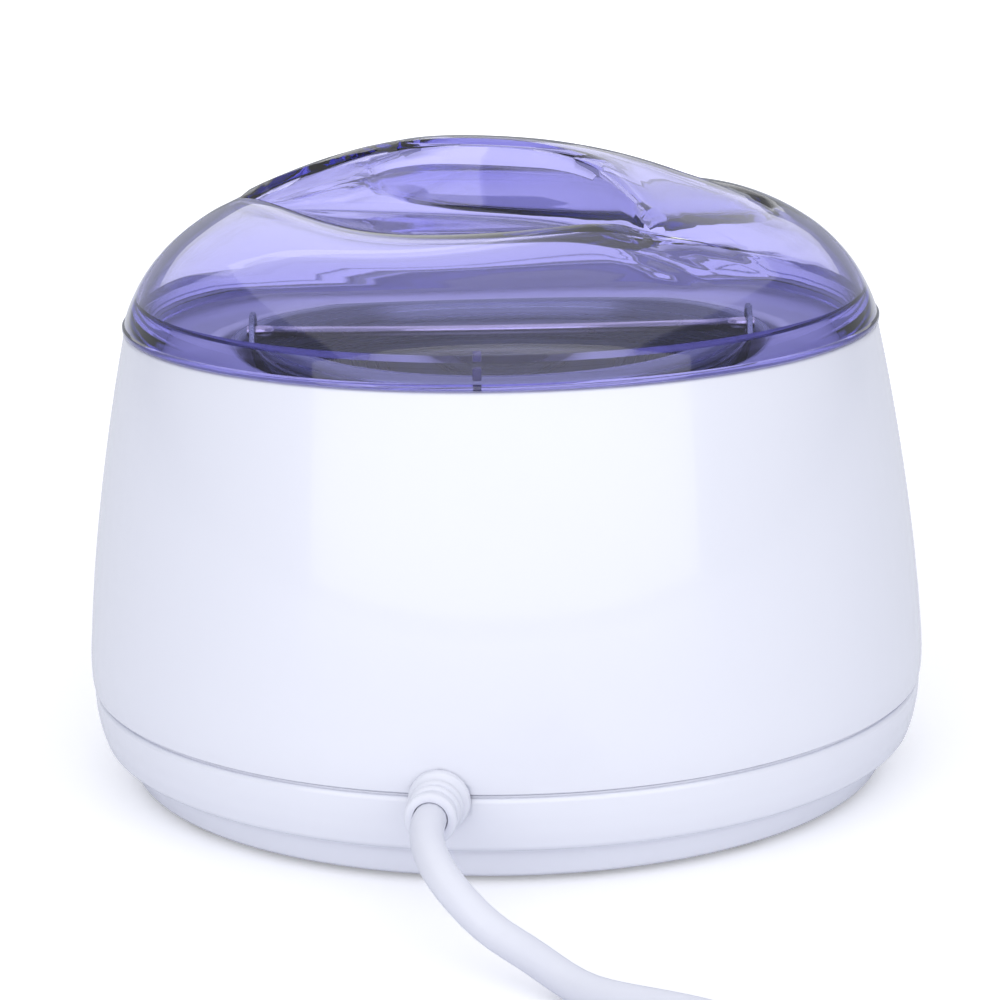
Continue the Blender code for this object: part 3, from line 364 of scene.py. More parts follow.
# %% Turn an outline into a mesh
def mesh_from(bm, name, sharp=SHARP):
    bmesh.ops.recalc_face_normals(bm, faces=bm.faces)
    mesh = bpy.data.meshes.new(name)
    bm.to_mesh(mesh)
    bm.free()
    mesh.shade_smooth()
    mesh.set_sharp_from_angle(angle=math.radians(sharp))
    return mesh


def turned(name, outline, segments):
    """A closed (radius, height) outline, in millimetres, turned about Z."""
    bm = bmesh.new()
    rings = []
    for radius, height in outline:
        if radius < 1e-6:
            rings.append([bm.verts.new((0.0, 0.0, height * MM))] * (segments + 1))
            continue
        ring = []
        for step in range(segments):
            angle = TAU * step / segments
            ring.append(bm.verts.new(Vector((radius * math.cos(angle), radius * math.sin(angle), height)) * MM))
        rings.append(ring + ring[:1])
    for first, second in zip(rings, rings[1:] + rings[:1]):
        for step in range(segments):
            distinct = list(dict.fromkeys((first[step], first[step + 1], second[step + 1], second[step])))
            if len(distinct) > 2:
                bm.faces.new(distinct)
    return mesh_from(bm, name)


# %% Settle a piece
def settle(name, mesh, look, body, slot, *replaced, where=None):
    """Puts a mesh in the scene with its place baked in, and tells the frame what it is."""
    if where is not None:
        mesh.transform(where)
    if look is not None:
        mesh.materials.clear()
        mesh.materials.append(look)
    piece = bpy.data.objects.new(name, mesh)
    bpy.context.scene.collection.objects.link(piece)
    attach(piece, body)
    if replaced:
        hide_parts(*replaced)
    print(f"{name}: {len(mesh.polygons)} faces on {body}")
    return piece


# %% Join, cut and thicken
def carve(mesh, tools, added=()):
    """The mesh with `added` joined to it and then each tool cut from it, as a new plain mesh."""
    block = bpy.data.objects.new("blank", mesh)
    bpy.context.scene.collection.objects.link(block)
    helpers = []
    for operation, tool in [("UNION", tool) for tool in added] + [("DIFFERENCE", tool) for tool in tools]:
        helper = bpy.data.objects.new("tool", tool)
        bpy.context.scene.collection.objects.link(helper)
        modifier = block.modifiers.new("cut", "BOOLEAN")
        modifier.operation = operation
        modifier.object = helper
        helpers.append(helper)
    result = plain_mesh(block)
    for helper in helpers:
        bpy.data.objects.remove(helper)
    return result


def plain_mesh(holder):
    """What the object evaluates to, as a plain mesh. The object itself goes."""
    bpy.context.view_layer.update()
    graph = bpy.context.evaluated_depsgraph_get()
    result = bpy.data.meshes.new_from_object(holder.evaluated_get(graph))
    bpy.data.objects.remove(holder)
    return result


def thicken(bm, face, by):
    """Extrudes a face by a distance in millimetres."""
    extruded = bmesh.ops.extrude_face_region(bm, geom=[face])["geom"]
    raised = [item for item in extruded if isinstance(item, bmesh.types.BMVert)]
    bmesh.ops.translate(bm, vec=Vector(by) * MM, verts=raised)


# %% Run a wire along a line
def wire_curve(name, line, diameter, detail, place=Matrix()):
    """A round wire or cord that follows a line given in millimetres."""
    curve = bpy.data.curves.new(name, "CURVE")
    curve.dimensions = "3D"
    curve.bevel_depth = diameter / 2 * MM
    curve.bevel_resolution = detail
    curve.use_fill_caps = True
    spline = curve.splines.new("POLY")
    spline.points.add(len(line) - 1)
    for spot, point in zip(spline.points, line):
        spot.co = (*(place @ (Vector(point) * MM)), 1.0)
    wire = bpy.data.objects.new(name, curve)
    bpy.context.scene.collection.objects.link(wire)
    return wire


# %% Make small shapes and put them in place
def bar(size, rounding):
    """A block with every edge rounded."""
    bm = bmesh.new()
    bmesh.ops.create_cube(bm, size=1.0)
    bmesh.ops.scale(bm, vec=Vector(size) * MM, verts=bm.verts)
    bmesh.ops.bevel(bm, geom=bm.edges[:], offset=rounding * MM, segments=3, profile=0.5, affect="EDGES")
    return mesh_from(bm, "bar")


def frame_at(at, turn=(0.0, 0.0, 0.0)):
    """The matrix of a place in millimetres and of turns about X, then Y, then Z."""
    about = [Matrix.Rotation(angle, 4, axis) for angle, axis in zip(turn, "XYZ")]
    return Matrix.Translation(Vector(at) * MM) @ (about[2] @ about[1] @ about[0])


def round_at(ring, azimuth, height=0.0):
    """A frame on a circle round Z, turned so that its X points outwards."""
    return frame_at((ring * math.cos(azimuth), ring * math.sin(azimuth), height), (0.0, 0.0, azimuth))


def peg(radius, bottom, top, segments=24):
    return turned("peg", ((0.0, top), (radius, top), (radius, bottom), (0.0, bottom)), segments)


def moved(mesh, matrix):
    mesh.transform(matrix)
    return mesh


# %% [markdown]
# ## Mains cord
# A cord is a fixed length of something springy, so its line comes before its look. It leaves the back of the body
# level, drops to the table in one easy bend and wanders off. The rest of its 1.2 m is wound into a tied coil of two
# layers, as it would be in its box, and ends in a flat two-pin plug. The free stretches repeat the
# route of the solid model, and the turns of the coil are worked out by a loop.

# %% Lay the cord
CORD = 6.4
CORD_EXIT = (0.0, 88.6, 20.2)
RUN = (
    (0.0, 101.9, 20.2), (0.0, 105.5, 20.2), (-1.0, 111.5, 19.1), (-4.0, 118.0, 16.7), (-9.0, 123.5, 13.3),
    (-15.5, 127.0, 8.6), (-22.5, 131.0, 6.8), (-30.0, 135.5, 3.3), (-36.5, 141.5, 3.3), (-50.0, 145.0, 3.3),
    (-62.5, 151.5, 3.3), (-73.5, 160.0, 3.3), (-82.5, 170.0, 3.5), (-88.5, 180.5, 3.8),
)
TAIL = (
    (-32.7, 255.0, 10.5), (-26.0, 255.6, 10.1), (-18.0, 255.2, 7.8), (-9.0, 252.6, 5.8), (-0.5, 247.4, 5.0),
    (6.0, 240.4, 5.6), (10.6, 233.2, 6.6), (13.08, 226.64, 6.9),
)
COIL_CENTRE = np.array((-51.3, 210.8))
COIL_WIDE, COIL_NARROW = 41.4, 27.0
LAYER_LOW, LAYER_HIGH = 4.1, 10.5
TURNS_LOW, TURNS_HIGH = 2.25, 2.0
POINTS_A_TURN = 40
CLIMB_TURNS = 0.7
COIL_START = math.radians(188.4)


def coil_points():
    """Clockwise from above: inwards along the lower layer, up, and outwards along the upper one."""
    total = TURNS_LOW + TURNS_HIGH
    made = []
    for step in range(int(total * POINTS_A_TURN) + 1):
        turns = step / POINTS_A_TURN
        angle = COIL_START - TAU * turns
        if turns < TURNS_LOW:
            part = turns / TURNS_LOW
            radius = COIL_WIDE + (COIL_NARROW - COIL_WIDE) * part
        else:
            part = (turns - TURNS_LOW) / TURNS_HIGH
            radius = COIL_NARROW + (COIL_WIDE - COIL_NARROW) * part
        climb = min(max((turns - TURNS_LOW + CLIMB_TURNS / 2) / CLIMB_TURNS, 0.0), 1.0)
        climb = climb * climb * (3 - 2 * climb)
        height = LAYER_LOW + (LAYER_HIGH - LAYER_LOW) * climb
        x, y = COIL_CENTRE + radius * np.array((math.cos(angle), math.sin(angle)))
        made.append((x, y, height))
    return made


cord_line = [CORD_EXIT, (0.0, 95.0, 20.2), *smooth_line(RUN, 40), *coil_points(), *smooth_line(TAIL, 24)]
power_cord = wire_curve("power_cord", cord_line, CORD, 6)
power_cord.data.materials.append(cord_white)
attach(power_cord, "housing")
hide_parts("power_cord_run", "power_cord_coil", "power_cord_tail")

# %% [markdown]
# ## Strain relief
# The boot that keeps the cord from kinking is soft plastic moulded round it: a grommet pinched between shell and base,
# and ribs that get smaller. The ribs repeat along a line, so Geometry Nodes make them: a small ring is swept
# once, put on each point of a mesh line, and shrunk with its index.


# %% Grow a row of ribs with Geometry Nodes
RIB_SIDES, RIB_SECTION = 48, 12


def begin_tree(name, *sizes):
    """A Geometry Nodes tree with a named input for each size."""
    tree = bpy.data.node_groups.new(name, "GeometryNodeTree")
    tree.interface.new_socket("Geometry", in_out="OUTPUT", socket_type="NodeSocketGeometry")
    for label in sizes:
        kind = "NodeSocketInt" if label == "Count" else FLOAT
        tree.interface.new_socket(label, in_out="INPUT", socket_type=kind)
    return tree, tree.nodes.new("NodeGroupInput").outputs


def end_tree(tree, points, shape, scale, look):
    """Puts the shape on each point, makes the copies real and gives them their material."""
    copies = put(tree, "GeometryNodeInstanceOnPoints", {"Points": points, "Instance": shape, "Scale": scale})
    real = put(tree, "GeometryNodeRealizeInstances", {"Geometry": copies.outputs["Instances"]})
    smooth = put(tree, "GeometryNodeSetShadeSmooth", {"Geometry": real.outputs["Geometry"]})
    paint = put(tree, "GeometryNodeSetMaterial", {"Geometry": smooth.outputs["Geometry"], "Material": look})
    put(tree, "NodeGroupOutput", {"Geometry": paint.outputs["Geometry"]})
    return tree


def rib_row(look):
    """Count rings along Z from Start, Pitch apart, each one smaller by Taper."""
    tree, size = begin_tree("rib row", "Count", "Start", "Pitch", "Radius", "Thickness", "Taper")
    first = put(tree, "ShaderNodeCombineXYZ", {"Z": size["Start"]}).outputs["Vector"]
    gap = put(tree, "ShaderNodeCombineXYZ", {"Z": size["Pitch"]}).outputs["Vector"]
    line = put(tree, "GeometryNodeMeshLine", {"Count": size["Count"], "Start Location": first, "Offset": gap})
    ring = put(tree, "GeometryNodeCurvePrimitiveCircle", {"Resolution": RIB_SIDES, "Radius": size["Radius"]})
    section = put(tree, "GeometryNodeCurvePrimitiveCircle", {"Resolution": RIB_SECTION, "Radius": size["Thickness"]})
    rib = {"Curve": ring.outputs["Curve"], "Profile Curve": section.outputs["Curve"]}
    swept = put(tree, "GeometryNodeCurveToMesh", rib).outputs["Mesh"]
    index = put(tree, "GeometryNodeInputIndex").outputs["Index"]
    shrink = put(tree, "ShaderNodeMath", {0: index, 1: size["Taper"], 2: 1.0}, operation="MULTIPLY_ADD")
    return end_tree(tree, line.outputs["Mesh"], swept, shrink.outputs["Value"], look)


def grown(tree, values):
    """Runs a Geometry Nodes tree on an empty mesh and returns what it makes as a plain mesh."""
    holder = bpy.data.objects.new("holder", bpy.data.meshes.new("holder"))
    bpy.context.scene.collection.objects.link(holder)
    modifier = holder.modifiers.new("grow", "NODES")
    modifier.node_group = tree
    for item in tree.interface.items_tree:
        if item.in_out == "INPUT" and item.name in values:
            modifier[item.identifier] = values[item.name]
    return plain_mesh(holder)


def ribs_of(count, start, pitch, radius, thickness, taper):
    """A row of ribs with its sizes in millimetres."""
    sizes = {"Start": start * MM, "Pitch": pitch * MM, "Radius": radius * MM, "Thickness": thickness * MM}
    return grown(rib_row(cord_white), {"Count": count, "Taper": taper, **sizes})


# %% Fit the boot
UPRIGHT_TO_Y = (-math.pi / 2, 0.0, 0.0)
ALONG_Y = frame_at((0.0, 0.0, CORD_EXIT[2]), UPRIGHT_TO_Y)
boot_outline = (
    (3.3, 101.4), (4.3, 101.5), (5.0, 101.2), (5.1, 100.2), (4.5, 99.3), (4.6, 92.2), (5.8, 91.6), (6.0, 91.0),
    (6.0, 90.2), (5.7, 89.9), (4.6, 89.9), (4.6, 85.2), (6.5, 85.2), (6.5, 83.2), (4.6, 81.0), (3.3, 81.0),
)
boot = settle(
    "strain_relief_boot", turned("boot", rounded(boot_outline, 0.35, 2), 64), cord_white, "housing", "cord_white",
    "strain_relief", where=ALONG_Y,
)
relief_ribs = settle(
    "strain_relief_ribs", ribs_of(2, 94.2, 2.75, 4.45, 0.85, -0.02), None, "housing", "cord_white", where=ALONG_Y
)

# %% [markdown]
# ## Plug and tie
# The flat plug is a soft-edged block that narrows to the cord. Its outline is extruded and every edge is rounded.
# A cable tie holds the coil: a thin strap that hugs the section of the turns.

# %% Make the plug
PLUG_FRAME = frame_at((13.08, 226.34, 6.9), (0.0, 0.0, math.radians(188.4)))
PLUG_LENGTH, PLUG_THICK, PLUG_ROUND, PIN_OFFSET = 36.0, 13.6, 2.4, 9.3
plug_side = [(4.4, 0.6), (5.4, 7.5), (8.6, 12.5), (13.6, 17.5), (16.6, 25.0), (17.5, PLUG_LENGTH)]
plug_outline = [(-4.4, 0.6), *plug_side, *[(-x, y) for x, y in plug_side[:0:-1]]]
bm = bmesh.new()
plug_face = bm.faces.new([bm.verts.new(Vector((x, y, -PLUG_THICK / 2)) * MM) for x, y in plug_outline])
thicken(bm, plug_face, (0.0, 0.0, PLUG_THICK))
bmesh.ops.bevel(
    bm, geom=bm.edges[:], offset=PLUG_ROUND * MM, segments=4, profile=0.5, affect="EDGES", clamp_overlap=True
)
plug = settle(
    "plug_moulding", mesh_from(bm, "plug", 50.0), cord_white, "housing", "cord_white", "plug_body", where=PLUG_FRAME
)
grip = settle(
    "plug_grip_ribs", ribs_of(3, 2.6, 2.1, 4.1, 0.6, 0.09), None, "housing", "cord_white",
    where=PLUG_FRAME @ frame_at((0, 0, 0), UPRIGHT_TO_Y),
)
pin_outline = ((0.0, 19.0), (1.2, 18.9), (1.9, 17.8), (2.0, 16.8), (2.0, 0.1), (0.0, 0.1))
for side, node in ((-1, "plug_pin_1"), (1, "plug_pin_2")):
    at = PLUG_FRAME @ frame_at((PIN_OFFSET * side, PLUG_LENGTH, 0.0), UPRIGHT_TO_Y)
    pin = turned("pin", pin_outline, 32)
    settle(node + "_bright", pin, plated_steel, "housing", "brass", node, where=at)

# %% Make the tie
TIE_TURN = math.radians(143.4)
TIE_INNER, TIE_OUTER, TIE_LOW, TIE_HIGH, TIE_THICK, TIE_WIDTH = 23.2, 44.9, 0.6, 14.0, 0.5, 4.0
TIE_CORNER, CORNER_STEPS = 3.0, 6


def tie_loop(grow):
    """A rectangle with round corners in X and Z, larger by `grow`."""
    made = []
    for quarter, (x, z) in enumerate(
        ((TIE_OUTER, TIE_HIGH), (TIE_INNER, TIE_HIGH), (TIE_INNER, TIE_LOW), (TIE_OUTER, TIE_LOW))
    ):
        centre_x = x + (-TIE_CORNER if x == TIE_OUTER else TIE_CORNER)
        centre_z = z + (-TIE_CORNER if z == TIE_HIGH else TIE_CORNER)
        for step in range(CORNER_STEPS + 1):
            angle = math.pi / 2 * (quarter + step / CORNER_STEPS)
            reach = TIE_CORNER + grow
            made.append((centre_x + reach * math.cos(angle), centre_z + reach * math.sin(angle)))
    return made


bm = bmesh.new()
loops = []
edge_y = TIE_WIDTH / 2
for grow, y in ((0.0, -edge_y), (TIE_THICK, -edge_y), (TIE_THICK, edge_y), (0.0, edge_y)):
    loops.append([bm.verts.new(Vector((x, y, z)) * MM) for x, z in tie_loop(grow)])
for first, second in zip(loops, loops[1:] + loops[:1]):
    for step in range(len(first)):
        after = (step + 1) % len(first)
        bm.faces.new((first[step], first[after], second[after], second[step]))
tie = settle(
    "cable_tie", mesh_from(bm, "tie"), soft_black, "housing", "black_plastic", "cord_tie",
    where=frame_at((*COIL_CENTRE, 0.0), (0.0, 0.0, TIE_TURN)),
)

# %% [markdown]
# ## Shell and base cover
# The shell is one moulding: a tapered wall that swells towards its foot, a small round at the top, a step that locates
# the lid, and a flat deck that slopes down to the mouth of the pot. The long wall follows a smooth curve through a few
# radii, and the corners get small arcs. The base cover meets it at a fine groove and steps in to a plinth.


# %% Turn the shell
POST_RING, BOSS_RING, FOOT_RING, CLAMP_Y, CLAMP_SCREW_X = 74.0, 64.5, 71.0, 66.0, 8.2
POST_AZIMUTHS = [math.radians(45 + 90 * index) for index in range(4)]
FOOT_AZIMUTHS = [math.radians(20 + 90 * index) for index in range(4)]
BOSS_AZIMUTHS = [math.radians(30 + 120 * index) for index in range(3)]
KNOB_HEIGHT = 46.0
FRONT_WALL = frame_at((0.0, -87.9, KNOB_HEIGHT), (math.radians(83.12), 0.0, 0.0))
LENS_WALL = frame_at((0.0, -83.55, 76.0), (math.radians(80.3), 0.0, 0.0))
wall = (
    (89.4, 22.5), (89.6, 26.0), (89.25, 31.0), (88.7, 38.0), (87.7, 48.0), (86.4, 58.0),
    (84.9, 68.0), (83.2, 78.0), (81.3, 88.0), (80.0, 94.0),
)
deck = [(79.6, 96.55), (76.6, 96.6), (76.2, 94.3), (75.6, 93.9), (63.0, 92.45), (61.3, 91.7), (60.6, 88.5)]
inner_wall = [
    (62.8, 88.5), (63.5, 90.0), (74.0, 91.4), (77.0, 92.5), (78.9, 88.0), (82.5, 68.0), (85.3, 48.0), (87.2, 26.0),
    (86.9, 20.45), (88.6, 20.45),
]
shell_outline = [(89.15, 21.0), *smooth_line(wall, 36), *rounded(deck + inner_wall, 0.7, 4)]
cord_hole = peg(5.0, 78.0, 95.0, 64)
cutters = [
    moved(cord_hole.copy(), ALONG_Y), moved(peg(5.2, -8.0, 4.0, 48), FRONT_WALL),
    moved(peg(3.8, -8.0, 4.0, 48), LENS_WALL),
]
posts = []
for azimuth in POST_AZIMUTHS:
    posts.append(moved(peg(4.0, 5.9, 50.0), round_at(POST_RING, azimuth)))
    posts.append(moved(bar((10.6, 2.0, 26.0), 0.4), round_at(81.3, azimuth, 37.0)))
    cutters.append(moved(peg(1.7, 4.0, 22.0), round_at(POST_RING, azimuth)))
for azimuth in BOSS_AZIMUTHS:
    posts.append(moved(peg(3.2, 88.5, 91.2), round_at(BOSS_RING, azimuth)))
    cutters.append(moved(peg(1.7, 88.0, 91.0), round_at(BOSS_RING, azimuth)))
shell_mesh = carve(turned("shell", shell_outline, 180), cutters, posts)
settle("body_shell_gloss", shell_mesh, gloss_white, "housing", "white_gloss", "body_shell")

# %% Turn the base cover
VENTS, VENT_RING = 6, 22.0
base_outline = (
    (88.6, 19.95), (89.0, 19.2), (88.75, 16.0), (88.1, 12.5), (87.1, 9.4), (86.3, 8.6), (83.8, 7.9), (82.4, 6.7),
    (81.9, 4.5), (81.1, 1.9), (80.2, 1.2), (0.0, 1.2), (0.0, 3.4), (78.6, 3.4), (79.9, 7.2), (81.8, 8.9),
    (84.6, 10.4), (86.0, 13.0), (86.8, 20.3), (87.9, 20.3), (87.9, 19.95),
)
screw_recess = ((0.0, 8.0), (1.8, 8.0), (1.8, 3.6), (3.5, 3.6), (3.7, 0.0), (0.0, 0.0))
pads = [moved(bar((22.0, 8.0, 13.7), 0.5), frame_at((0.0, CLAMP_Y, 9.85)))]
cutters = [moved(cord_hole.copy(), ALONG_Y)]
for side in (-1, 1):
    cutters.append(moved(peg(1.6, 7.0, 18.0), frame_at((CLAMP_SCREW_X * side, CLAMP_Y, 0.0))))
for screw_azimuth, foot_azimuth in zip(POST_AZIMUTHS, FOOT_AZIMUTHS):
    pads.append(moved(peg(5.0, 3.0, 5.6), round_at(POST_RING, screw_azimuth)))
    cutters.append(moved(turned("recess", screw_recess, 32), round_at(POST_RING, screw_azimuth)))
    cutters.append(moved(peg(2.5, 0.0, 5.0), round_at(FOOT_RING, foot_azimuth)))
for index in range(VENTS):
    cutters.append(moved(bar((20.0, 3.0, 8.0), 1.3), round_at(VENT_RING, TAU * index / VENTS, 2.3)))
base_mesh = carve(turned("base", rounded(base_outline, 0.9, 4), 180), cutters, pads)
settle("base_cover_gloss", base_mesh, gloss_white, "housing", "white_gloss", "base_cover")

# %% [markdown]
# ## Lid
# The lid is the piece people look at. Two leaf-shaped scoops are pressed into its dome, half a turn apart, and what is
# left between them is the S-shaped ridge that fingers hold. It could be cut with Booleans, but a patch for each surface
# keeps clean rows of faces, so the reflections run smoothly. One crest line and one outer edge define a scoop, and
# the other scoop and the ridge are made from the same lines, turned round.

# %% Shape the lid
LID_FRAME = frame_at((0.0, 0.0, 0.0), (0.0, 0.0, math.radians(188.4)))
LID_WALL = 2.2
DOME_FOOT, DOME_HEIGHT, DOME_RADIUS, DOME_FLATNESS, DOME_POWER = 100.0, 35.0, 78.2, 2.2, 0.64
SCOOP_FLOOR, SCOOP_DRAFT, SCOOP_BOWL = 118.8, 4.0, 1.7
WALL_SHARE, WALL_CURVE, RIDGE_END = 0.35, 2.2, 0.16
LIP_SAG, LIP_SPREAD = 5.0, 1.3
CREST = (
    (-58.5, 12.5), (-48.0, 13.6), (-36.0, 12.2), (-24.0, 7.6), (-12.0, 2.6), (0.0, -3.0),
    (10.8, -10.4), (17.4, -18.8), (23.4, -30.2), (27.3, -40.4), (31.0, -51.6),
)
SCOOP_EDGE = (
    (-58.5, 12.5), (-53.5, 3.0), (-48.6, -8.0), (-43.0, -20.5), (-33.0, -36.0),
    (-18.5, -46.5), (0.0, -50.2), (14.0, -48.2), (24.0, -46.6), (31.0, -51.6),
)
SOFT_RING, SOFT_PASSES, NORMAL_PASSES, INNER_PASSES = 66.0, 4, 14, 3
TIP_REACH, TIP_MERGE, TIP_PASSES = 7.0, 0.5, 10
LID_RINGS = (71.0, 73.2, 74.9, 76.2, 77.0)
LID_BAND = (
    (77.4, 103.2), (78.0, 102.0), (78.6, 100.6), (79.1, 99.2), (79.35, 98.25), (79.75, 98.0), (79.9, 97.75),
    (79.9, 97.1), (79.7, 96.95), (76.0, 96.9), (75.7, 96.7), (75.7, 95.5), (75.4, 95.2), (74.0, 95.2),
    (73.7, 95.5), (73.7, 98.0), (73.8, 101.0),
)


# %% Set the lid's surfaces out
def dome_height(radius):
    return DOME_FOOT + DOME_HEIGHT * (1.0 - (radius / DOME_RADIUS) ** DOME_FLATNESS) ** DOME_POWER


def on_dome(points):
    return np.column_stack((points, dome_height(np.linalg.norm(points, axis=1))))


def half_turn(points):
    return points * np.array((-1.0, -1.0, 1.0))


def scoop_patch(crest, edge, wall_steps, bowl_steps):
    """Rows from the sharp crest, down the wall to the floor, and up the bowl to the soft outer edge."""
    reach = np.linalg.norm(edge[:, :2] - crest[:, :2], axis=1)
    wall = np.minimum(SCOOP_DRAFT / np.maximum(reach, 1e-6), WALL_SHARE)[:, None]
    floor = np.minimum(np.minimum(crest[:, 2], edge[:, 2]), SCOOP_FLOOR)[:, None]
    top, lip = crest[:, 2:], edge[:, 2:]
    floor[0], floor[-1] = top[0], top[-1]
    rows = []
    for part in np.linspace(0.0, 1.0, wall_steps + 1):
        flat = crest[:, :2] + (edge - crest)[:, :2] * wall * part
        rows.append(np.hstack((flat, top + (floor - top) * (1.0 - (1.0 - part) ** WALL_CURVE))))
    for part in np.linspace(0.0, 1.0, bowl_steps + 1)[1:]:
        flat = crest[:, :2] + (edge - crest)[:, :2] * (wall + (1.0 - wall) * part)
        rows.append(np.hstack((flat, floor + (lip - floor) * part**SCOOP_BOWL)))
    return rows


def ridge_patch(crest, steps):
    """Rows across the grip ridge, from one crest to the other. Its two ends bulge out to the dome."""
    other = half_turn(crest[::-1])
    count = len(crest) - 1
    to_end = np.minimum(np.arange(count + 1), np.arange(count, -1, -1))
    near_end = np.maximum(0.0, 1.0 - to_end / (RIDGE_END * count)) ** 2
    rows = []
    for part in np.linspace(0.0, 1.0, steps + 1):
        row = crest + (other - crest) * part
        radius = np.linalg.norm(row[:, :2], axis=1)
        wanted = np.linalg.norm(crest[:, :2], axis=1)
        wanted = wanted + (np.linalg.norm(other[:, :2], axis=1) - wanted) * part
        bulge = 1.0 + near_end * (wanted / np.maximum(radius, 1e-6) - 1.0)
        row[:, :2] *= bulge[:, None]
        on_round = dome_height(np.linalg.norm(row[:, :2], axis=1))
        row[:, 2] += near_end * (on_round - row[:, 2])
        rows.append(row)
    return rows


# %% Skin the lid
def lid_mesh(along, wall_steps, bowl_steps, ridge_steps, ring_steps):
    bm = bmesh.new()

    def add(points):
        return [bm.verts.new(Vector(point) * MM) for point in points]

    def skin(rows, closed=False):
        for first, second in zip(rows, rows[1:]):
            count = len(first) if closed else len(first) - 1
            for step in range(count):
                after = (step + 1) % len(first)
                bm.faces.new((first[step], first[after], second[after], second[step]))

    crest = on_dome(smooth_line(CREST, along))
    edge = on_dome(smooth_line(SCOOP_EDGE, along))
    edge[:, 2] -= LIP_SAG * np.sin(np.linspace(0.0, math.pi, along + 1))
    scoop = scoop_patch(crest, edge, wall_steps, bowl_steps)
    ridge = ridge_patch(crest, ridge_steps)
    skin([add(row) for row in scoop])
    skin([add(half_turn(row)) for row in scoop])
    skin([add(row) for row in ridge])
    right_end = np.array([row[-1] for row in ridge])[1:-1]
    left_end = np.array([row[0] for row in ridge[::-1]])[1:-1]
    loop = np.vstack((edge, right_end, half_turn(edge), left_end))
    angles = np.unwrap(np.arctan2(loop[:, 1], loop[:, 0]))
    even = angles[0] + TAU * np.arange(len(loop)) / len(loop)
    radii = np.linalg.norm(loop[:, :2], axis=1)
    sag = dome_height(radii) - loop[:, 2]
    rings = [add(loop)]
    for step in range(1, ring_steps + 1):
        part = step / ring_steps
        angle = angles + (even - angles) * part
        radius = radii + (LID_RINGS[0] - radii) * part
        height = dome_height(radius) - sag * (1.0 - part) ** LIP_SPREAD
        rings.append(add(np.column_stack((radius * np.cos(angle), radius * np.sin(angle), height))))
    circle = np.column_stack((np.cos(even), np.sin(even)))
    for radius in LID_RINGS[1:]:
        height = np.full(len(loop), dome_height(radius))
        rings.append(add(np.column_stack((circle * radius, height))))
    skin(rings, closed=True)
    crease = [tuple(vertex.co) for vertex in rings[-1]]
    bmesh.ops.remove_doubles(bm, verts=bm.verts, dist=0.001 * MM)
    bmesh.ops.recalc_face_normals(bm, faces=bm.faces)
    top = max(bm.faces, key=lambda face: face.calc_center_median().z)
    if top.normal.z < 0:
        bmesh.ops.reverse_faces(bm, faces=bm.faces)
    bm.normal_update()
    tips = [Vector((*(crest[end, :2] * sign), 0.0)) * MM for end in (0, -1) for sign in (1, -1)]

    def near_tip(vertices, reach):
        return [v for v in vertices if any((v.co.xy - tip.xy).length < reach * MM for tip in tips)]

    def relax(vertices, passes):
        for _ in range(passes):
            bmesh.ops.smooth_vert(bm, verts=vertices, factor=0.5, use_axis_x=True, use_axis_y=True, use_axis_z=True)

    bmesh.ops.remove_doubles(bm, verts=near_tip(bm.verts, TIP_REACH), dist=TIP_MERGE * MM)
    relax([vertex for vertex in bm.verts if vertex.co.xy.length < SOFT_RING * MM], SOFT_PASSES)
    relax(near_tip(bm.verts, TIP_REACH), TIP_PASSES)
    bm.normal_update()
    outer = list(bm.verts)
    faces = list(bm.faces)
    around = {vertex: [edge.other_vert(vertex) for edge in vertex.link_edges] for vertex in outer}
    inward = {vertex: vertex.normal.copy() for vertex in outer}
    for _ in range(NORMAL_PASSES):
        inward = {
            vertex: sum((inward[other] for other in around[vertex]), inward[vertex]).normalized() for vertex in outer
        }
    inner = {vertex: bm.verts.new(vertex.co - inward[vertex] * LID_WALL * MM) for vertex in outer}
    for face in faces:
        bm.faces.new([inner[vertex] for vertex in reversed(face.verts)])
    relax([vertex for vertex in inner.values() if vertex.co.xy.length < SOFT_RING * MM], INNER_PASSES)
    found = {tuple(vertex.co): vertex for vertex in outer}
    top_ring = [found[key] for key in crease]
    band = [top_ring]
    for radius, height in LID_BAND:
        band.append(add(np.column_stack((circle * radius, np.full(len(circle), height)))))
    band.append([inner[vertex] for vertex in top_ring])
    skin(band, closed=True)
    return mesh_from(bm, "lid", 32.0)


settle("lid_clear", lid_mesh(96, 8, 22, 8, 10), clear_purple, "lid", "clear_purple", "lid", where=LID_FRAME)

# %% Set the locating tabs under the lid's band
TAB_X, TAB_RING = -4.6, 73.0
for number, (low, high) in enumerate(((97.6, 99.9), (101.0, 103.3)), start=1):
    at = LID_FRAME @ frame_at((TAB_X, -TAB_RING, (low + high) / 2))
    tab = bar((1.7, 1.4, high - low), 0.25)
    settle(f"lid_locating_tab_{number}", tab, deep_purple, "lid", "clear_purple", where=at)

# %% [markdown]
# ## Pot, ears and bail
# The pot is spun from sheet, so its rim is rolled over into a bead and its corner is a smooth sweep. The bail is one
# length of bright wire: half an ellipse whose two ends turn outwards through the ears.

